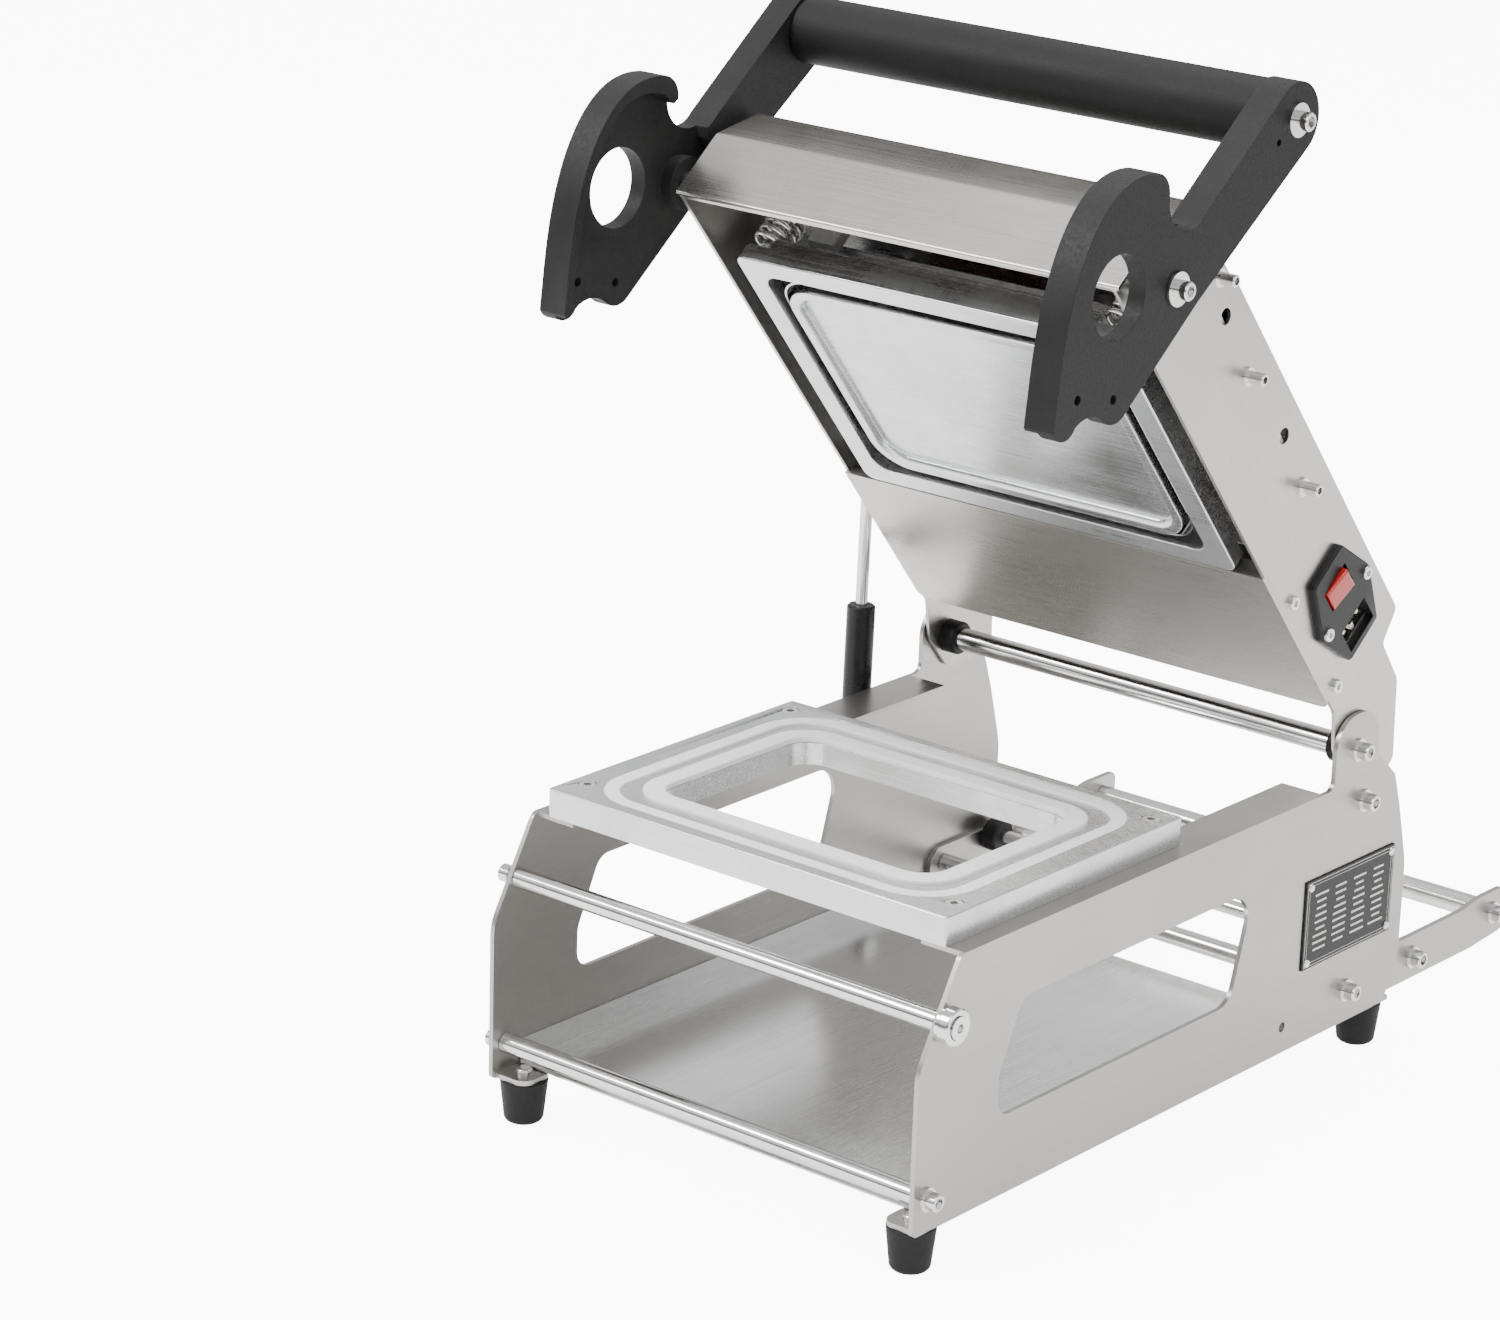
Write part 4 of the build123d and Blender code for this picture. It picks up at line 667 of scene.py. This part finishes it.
class SEALER_OT_press(bpy.types.Operator):
    """Clamp frame, heater, blade and springs"""
    bl_idname = "sealer.press"
    bl_label = "Clamp and Heater"

    def execute(self, context):
        milled = milled_finish("clamp_aluminium", -HEAD_LEAN)
        softened("clamp_frame", milled, settings().edge_break)
        fine = milled_finish("heater_aluminium", -HEAD_LEAN, (0.16, 0.30))
        softened("heater_plate", fine, 0.0008, 3)
        for node in ("press_plate", "blade_carrier"):
            softened(node, milled, 0.0004)
        bright = bright_finish("spring_steel", -HEAD_LEAN)
        dress("blade", bright)
        coils("clamp_springs", bright, settings().coil_turns)
        coils("heater_springs", bright, settings().coil_turns)
        dress("heating_element", plain_finish("heating_mat", (0.35, 0.12, 0.06), 0.6))
        dress("thermostat", plain_finish("sensor_grey", (0.30, 0.30, 0.30), 0.45))
        dress("terminal_block", plain_finish("terminal_ceramic", (0.80, 0.78, 0.72), 0.4))
        return {"FINISHED"}


class SEALER_OT_handle(bpy.types.Operator):
    """Cast cam levers and their grip"""
    bl_idname = "sealer.handle"
    bl_label = "Handle"

    def execute(self, context):
        cast = black_finish("lever_cast_black", (0.42, 0.62), 700.0, 0.00016, 2.4)
        for node in ("cam_lever_right", "cam_lever_left"):
            softened(node, cast, settings().lever_edge, 3)
        grip = black_finish("grip_rubber", (0.50, 0.66), 1500.0, 0.00008, 1.6)
        softened("grip_tube", grip, 0.0004)
        return {"FINISHED"}


class SEALER_OT_inlet(bpy.types.Operator):
    """Power inlet, its pins and the rocker"""
    bl_idname = "sealer.inlet"
    bl_label = "Power Inlet"

    def execute(self, context):
        softened("inlet_body", black_finish("inlet_plastic", (0.28, 0.40), 1500.0, 0.00003), 0.0004)
        dress("inlet_pins", plain_finish("pin_nickel", (0.80, 0.74, 0.60), 0.25, 1.0))
        rocker = Finish("rocker_red", tuple(settings().rocker_tint), 0.0, 0.16)
        cloud = rocker.noise((300.0, 300.0, 300.0), 2.0)
        rocker.join(rocker.spread(cloud, 0.12, 0.22), rocker.shader.inputs["Roughness"])
        rocker.shader.inputs["Coat Weight"].default_value = 0.6
        softened("rocker", rocker.material, 0.0008, 3)
        return {"FINISHED"}


class SEALER_OT_strut(bpy.types.Operator):
    """Gas strut tube"""
    bl_idname = "sealer.strut"
    bl_label = "Gas Strut"

    def execute(self, context):
        softened("strut_tube", black_finish("strut_enamel", (0.22, 0.34), 900.0, 0.00003), 0.0004)
        return {"FINISHED"}


class SEALER_OT_feet(bpy.types.Operator):
    """Rubber feet and the stop bumper"""
    bl_idname = "sealer.feet"
    bl_label = "Feet and Bumper"

    def execute(self, context):
        rubber = black_finish("foot_rubber", (0.45, 0.62), 900.0, 0.00010, 1.8)
        softened("feet", rubber, 0.0008, 3)
        softened("stop_bumper", rubber, 0.0005)
        return {"FINISHED"}


def bar_tree():
    """Blank light bars of uneven length on the incoming points."""
    tree, group_in, group_out = node_tree("rating_bars", [
        ("Bar", "NodeSocketVector"), ("Seed", "NodeSocketInt"), ("Finish", "NodeSocketMaterial")])
    cube = tree.nodes.new("GeometryNodeMeshCube")
    tree.links.new(group_in.outputs["Bar"], cube.inputs["Size"])
    placed = turned_points(tree, group_in, cube.outputs["Mesh"])
    length = tree.nodes.new("FunctionNodeRandomValue")
    length.data_type = "FLOAT"
    length.inputs[2].default_value = 0.45
    length.inputs[3].default_value = 1.0
    tree.links.new(group_in.outputs["Seed"], length.inputs["Seed"])
    stretch = tree.nodes.new("ShaderNodeCombineXYZ")
    stretch.inputs["X"].default_value = 1.0
    stretch.inputs["Z"].default_value = 1.0
    tree.links.new(length.outputs[1], stretch.inputs["Y"])
    scale = tree.nodes.new("GeometryNodeScaleInstances")
    tree.links.new(placed, scale.inputs["Instances"])
    tree.links.new(stretch.outputs["Vector"], scale.inputs["Scale"])
    finish_tree(tree, group_in, group_out, scale.outputs["Instances"])
    return tree


def frame_strip(shape, x, low, high, width, height):
    """Raised rectangular line on a plate that faces +X."""
    y0, z0 = low
    y1, z1 = high
    for (a0, b0), (a1, b1) in (
            ((y0, z0), (y1, z0 + width)), ((y0, z1 - width), (y1, z1)),
            ((y0, z0 + width), (y0 + width, z1 - width)), ((y1 - width, z0 + width), (y1, z1 - width))):
        centre = Vector((x + height / 2, (a0 + a1) / 2, (b0 + b1) / 2))
        size = Vector((height, a1 - a0, b1 - b0))
        place = Matrix.Translation(centre) @ Matrix.Diagonal((*size, 1.0))
        bmesh.ops.create_cube(shape, size=1.0, matrix=place)


class SEALER_OT_rating(bpy.types.Operator):
    """Black rating plate with blank bars in place of print"""
    bl_idname = "sealer.rating"
    bl_label = "Rating Plate"

    def execute(self, context):
        low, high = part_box("rating_plate")
        softened("rating_plate", black_finish("plate_black", (0.22, 0.34), 900.0, 0.00003, 1.5), 0.0003)
        light = plain_finish("plate_print", (0.62, 0.61, 0.58), 0.35, 0.4)
        shape = bmesh.new()
        for inset, width in BORDERS:
            near = (low[1] + inset, low[2] + inset)
            far = (high[1] - inset, high[2] - inset)
            frame_strip(shape, high[0] - PRINT_SINK, near, far, width, PRINT_H)
        mesh = bpy.data.meshes.new("rating_borders")
        shape.to_mesh(mesh)
        shape.free()
        borders = new_piece("rating_borders", mesh, light)
        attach(borders, "frame")
        rows = settings().text_rows
        places = []
        for row in range(rows):
            z = low[2] + ROW_MARGIN + row * (high[2] - low[2] - 2 * ROW_MARGIN) / (rows - 1)
            for column in range(BAR_COLUMNS):
                y = low[1] + FIRST_COLUMN + column * BAR_PITCH
                places.append((high[0] + PRINT_SINK, y, z))
        values = {"Bar": BAR_SIZE, "Seed": BAR_SEED, "Finish": light}
        bars = run_tree("rating_bars", bar_tree(), places, [(0.0, 0.0, 0.0)] * len(places), values, light)
        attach(bars, "frame")
        return {"FINISHED"}


def area_light(name, place, target, size, power):
    """Soft rectangular light aimed at a point."""
    data = bpy.data.lights.new(name, "AREA")
    data.shape = "RECTANGLE"
    data.size, data.size_y = size
    data.energy = power
    light = bpy.data.objects.new(name, data)
    light.location = place
    aim = Vector(target) - Vector(place)
    light.rotation_euler = aim.to_track_quat("-Z", "Y").to_euler()
    bpy.context.scene.collection.objects.link(light)


class SEALER_OT_stage(bpy.types.Operator):
    """Pale floor, soft lights and the camera"""
    bl_idname = "sealer.stage"
    bl_label = "Stage"

    def execute(self, context):
        self.floor()
        self.lights()
        self.camera()
        return {"FINISHED"}

    def floor(self):
        mesh = bpy.data.meshes.new("floor")
        signs = ((-1, -1), (1, -1), (1, 1), (-1, 1))
        corners = [(FLOOR_REACH * across, FLOOR_REACH * along, 0.0) for across, along in signs]
        mesh.from_pydata(corners, [], [(0, 1, 2, 3)])
        finish = Finish("floor_paper", (0.93, 0.93, 0.92), 0.0, 0.8)
        finish.tint(finish.spread(finish.noise((3.0, 3.0, 3.0), 2.0), 0.0, 1.0), (0.91, 0.91, 0.90))
        finish.shader.inputs["Emission Color"].default_value = (1.0, 1.0, 1.0, 1.0)
        path = finish.nodes.new("ShaderNodeLightPath")
        glow = finish.spread(path.outputs["Is Camera Ray"], *FLOOR_GLOW, 0.0, 1.0)
        finish.join(glow, finish.shader.inputs["Emission Strength"])
        new_piece("floor", mesh, finish.material)

    def lights(self):
        world = bpy.data.worlds.new("studio")
        world.use_nodes = True
        nodes = world.node_tree.nodes
        links = world.node_tree.links
        place = nodes.new("ShaderNodeTexCoord")
        parts = nodes.new("ShaderNodeSeparateXYZ")
        bands = nodes.new("ShaderNodeValToRGB")
        links.new(place.outputs["Generated"], parts.inputs["Vector"])
        links.new(parts.outputs["Z"], bands.inputs["Fac"])
        links.new(bands.outputs["Color"], nodes["Background"].inputs["Color"])
        stops = bands.color_ramp.elements
        stops[0].position = 0.0
        stops[0].color = SKY_ENDS[0]
        stops[1].position = 1.0
        stops[1].color = SKY_ENDS[1]
        for height, level in SKY_BANDS:
            stop = stops.new(height)
            stop.color = (level, level, level * 1.01, 1.0)
        nodes["Background"].inputs["Strength"].default_value = SKY_STRENGTH
        bpy.context.scene.world = world
        for light in LIGHTS:
            area_light(*light)

    def camera(self):
        data = bpy.data.cameras.new("camera")
        data.sensor_fit = "HORIZONTAL"
        data.sensor_width = CAMERA_SENSOR
        data.lens = CAMERA_LENS
        data.clip_end = 40.0
        camera = bpy.data.objects.new("camera", data)
        around = math.radians(CAMERA_AROUND)
        above = math.radians(CAMERA_ABOVE)
        roll = math.radians(CAMERA_ROLL)
        reach = math.cos(above)
        forward = Vector((-math.sin(around) * reach, math.cos(around) * reach, -math.sin(above)))
        level = Vector((math.cos(around), math.sin(around), 0.0))
        upright = level.cross(forward)
        right = level * math.cos(roll) + upright * math.sin(roll)
        up = upright * math.cos(roll) - level * math.sin(roll)
        turn = Matrix((right, up, -forward)).transposed().to_4x4()
        camera.matrix_world = Matrix.Translation(CAMERA_PLACE) @ turn
        bpy.context.scene.collection.objects.link(camera)
        bpy.context.scene.camera = camera


OPERATORS = (
    SEALER_OT_sheets,
    SEALER_OT_rods,
    SEALER_OT_fasteners,
    SEALER_OT_mould,
    SEALER_OT_head,
    SEALER_OT_press,
    SEALER_OT_handle,
    SEALER_OT_inlet,
    SEALER_OT_strut,
    SEALER_OT_feet,
    SEALER_OT_rating,
    SEALER_OT_stage,
)


class SEALER_PT_panel(bpy.types.Panel):
    """Settings and build steps of the tray sealer"""
    bl_idname = "SEALER_PT_panel"
    bl_label = "Tray Sealer"
    bl_space_type = "VIEW_3D"
    bl_region_type = "UI"
    bl_category = "Tray Sealer"

    def draw(self, context):
        values = context.scene.sealer
        for name in SealerSettings.__annotations__:
            self.layout.prop(values, name)
        for operator in OPERATORS:
            self.layout.operator(operator.bl_idname)


CLASSES = (SealerSettings, *OPERATORS, SEALER_PT_panel)


def register():
    for item in CLASSES:
        bpy.utils.register_class(item)
    bpy.types.Scene.sealer = bpy.props.PointerProperty(type=SealerSettings)


def unregister():
    del bpy.types.Scene.sealer
    for item in reversed(CLASSES):
        bpy.utils.unregister_class(item)


def main():
    """Builds every piece in order."""
    register()
    for operator in OPERATORS:
        group, name = operator.bl_idname.split(".")
        getattr(getattr(bpy.ops, group), name)()
    bpy.context.view_layer.update()


if __name__ == "__main__":
    main()
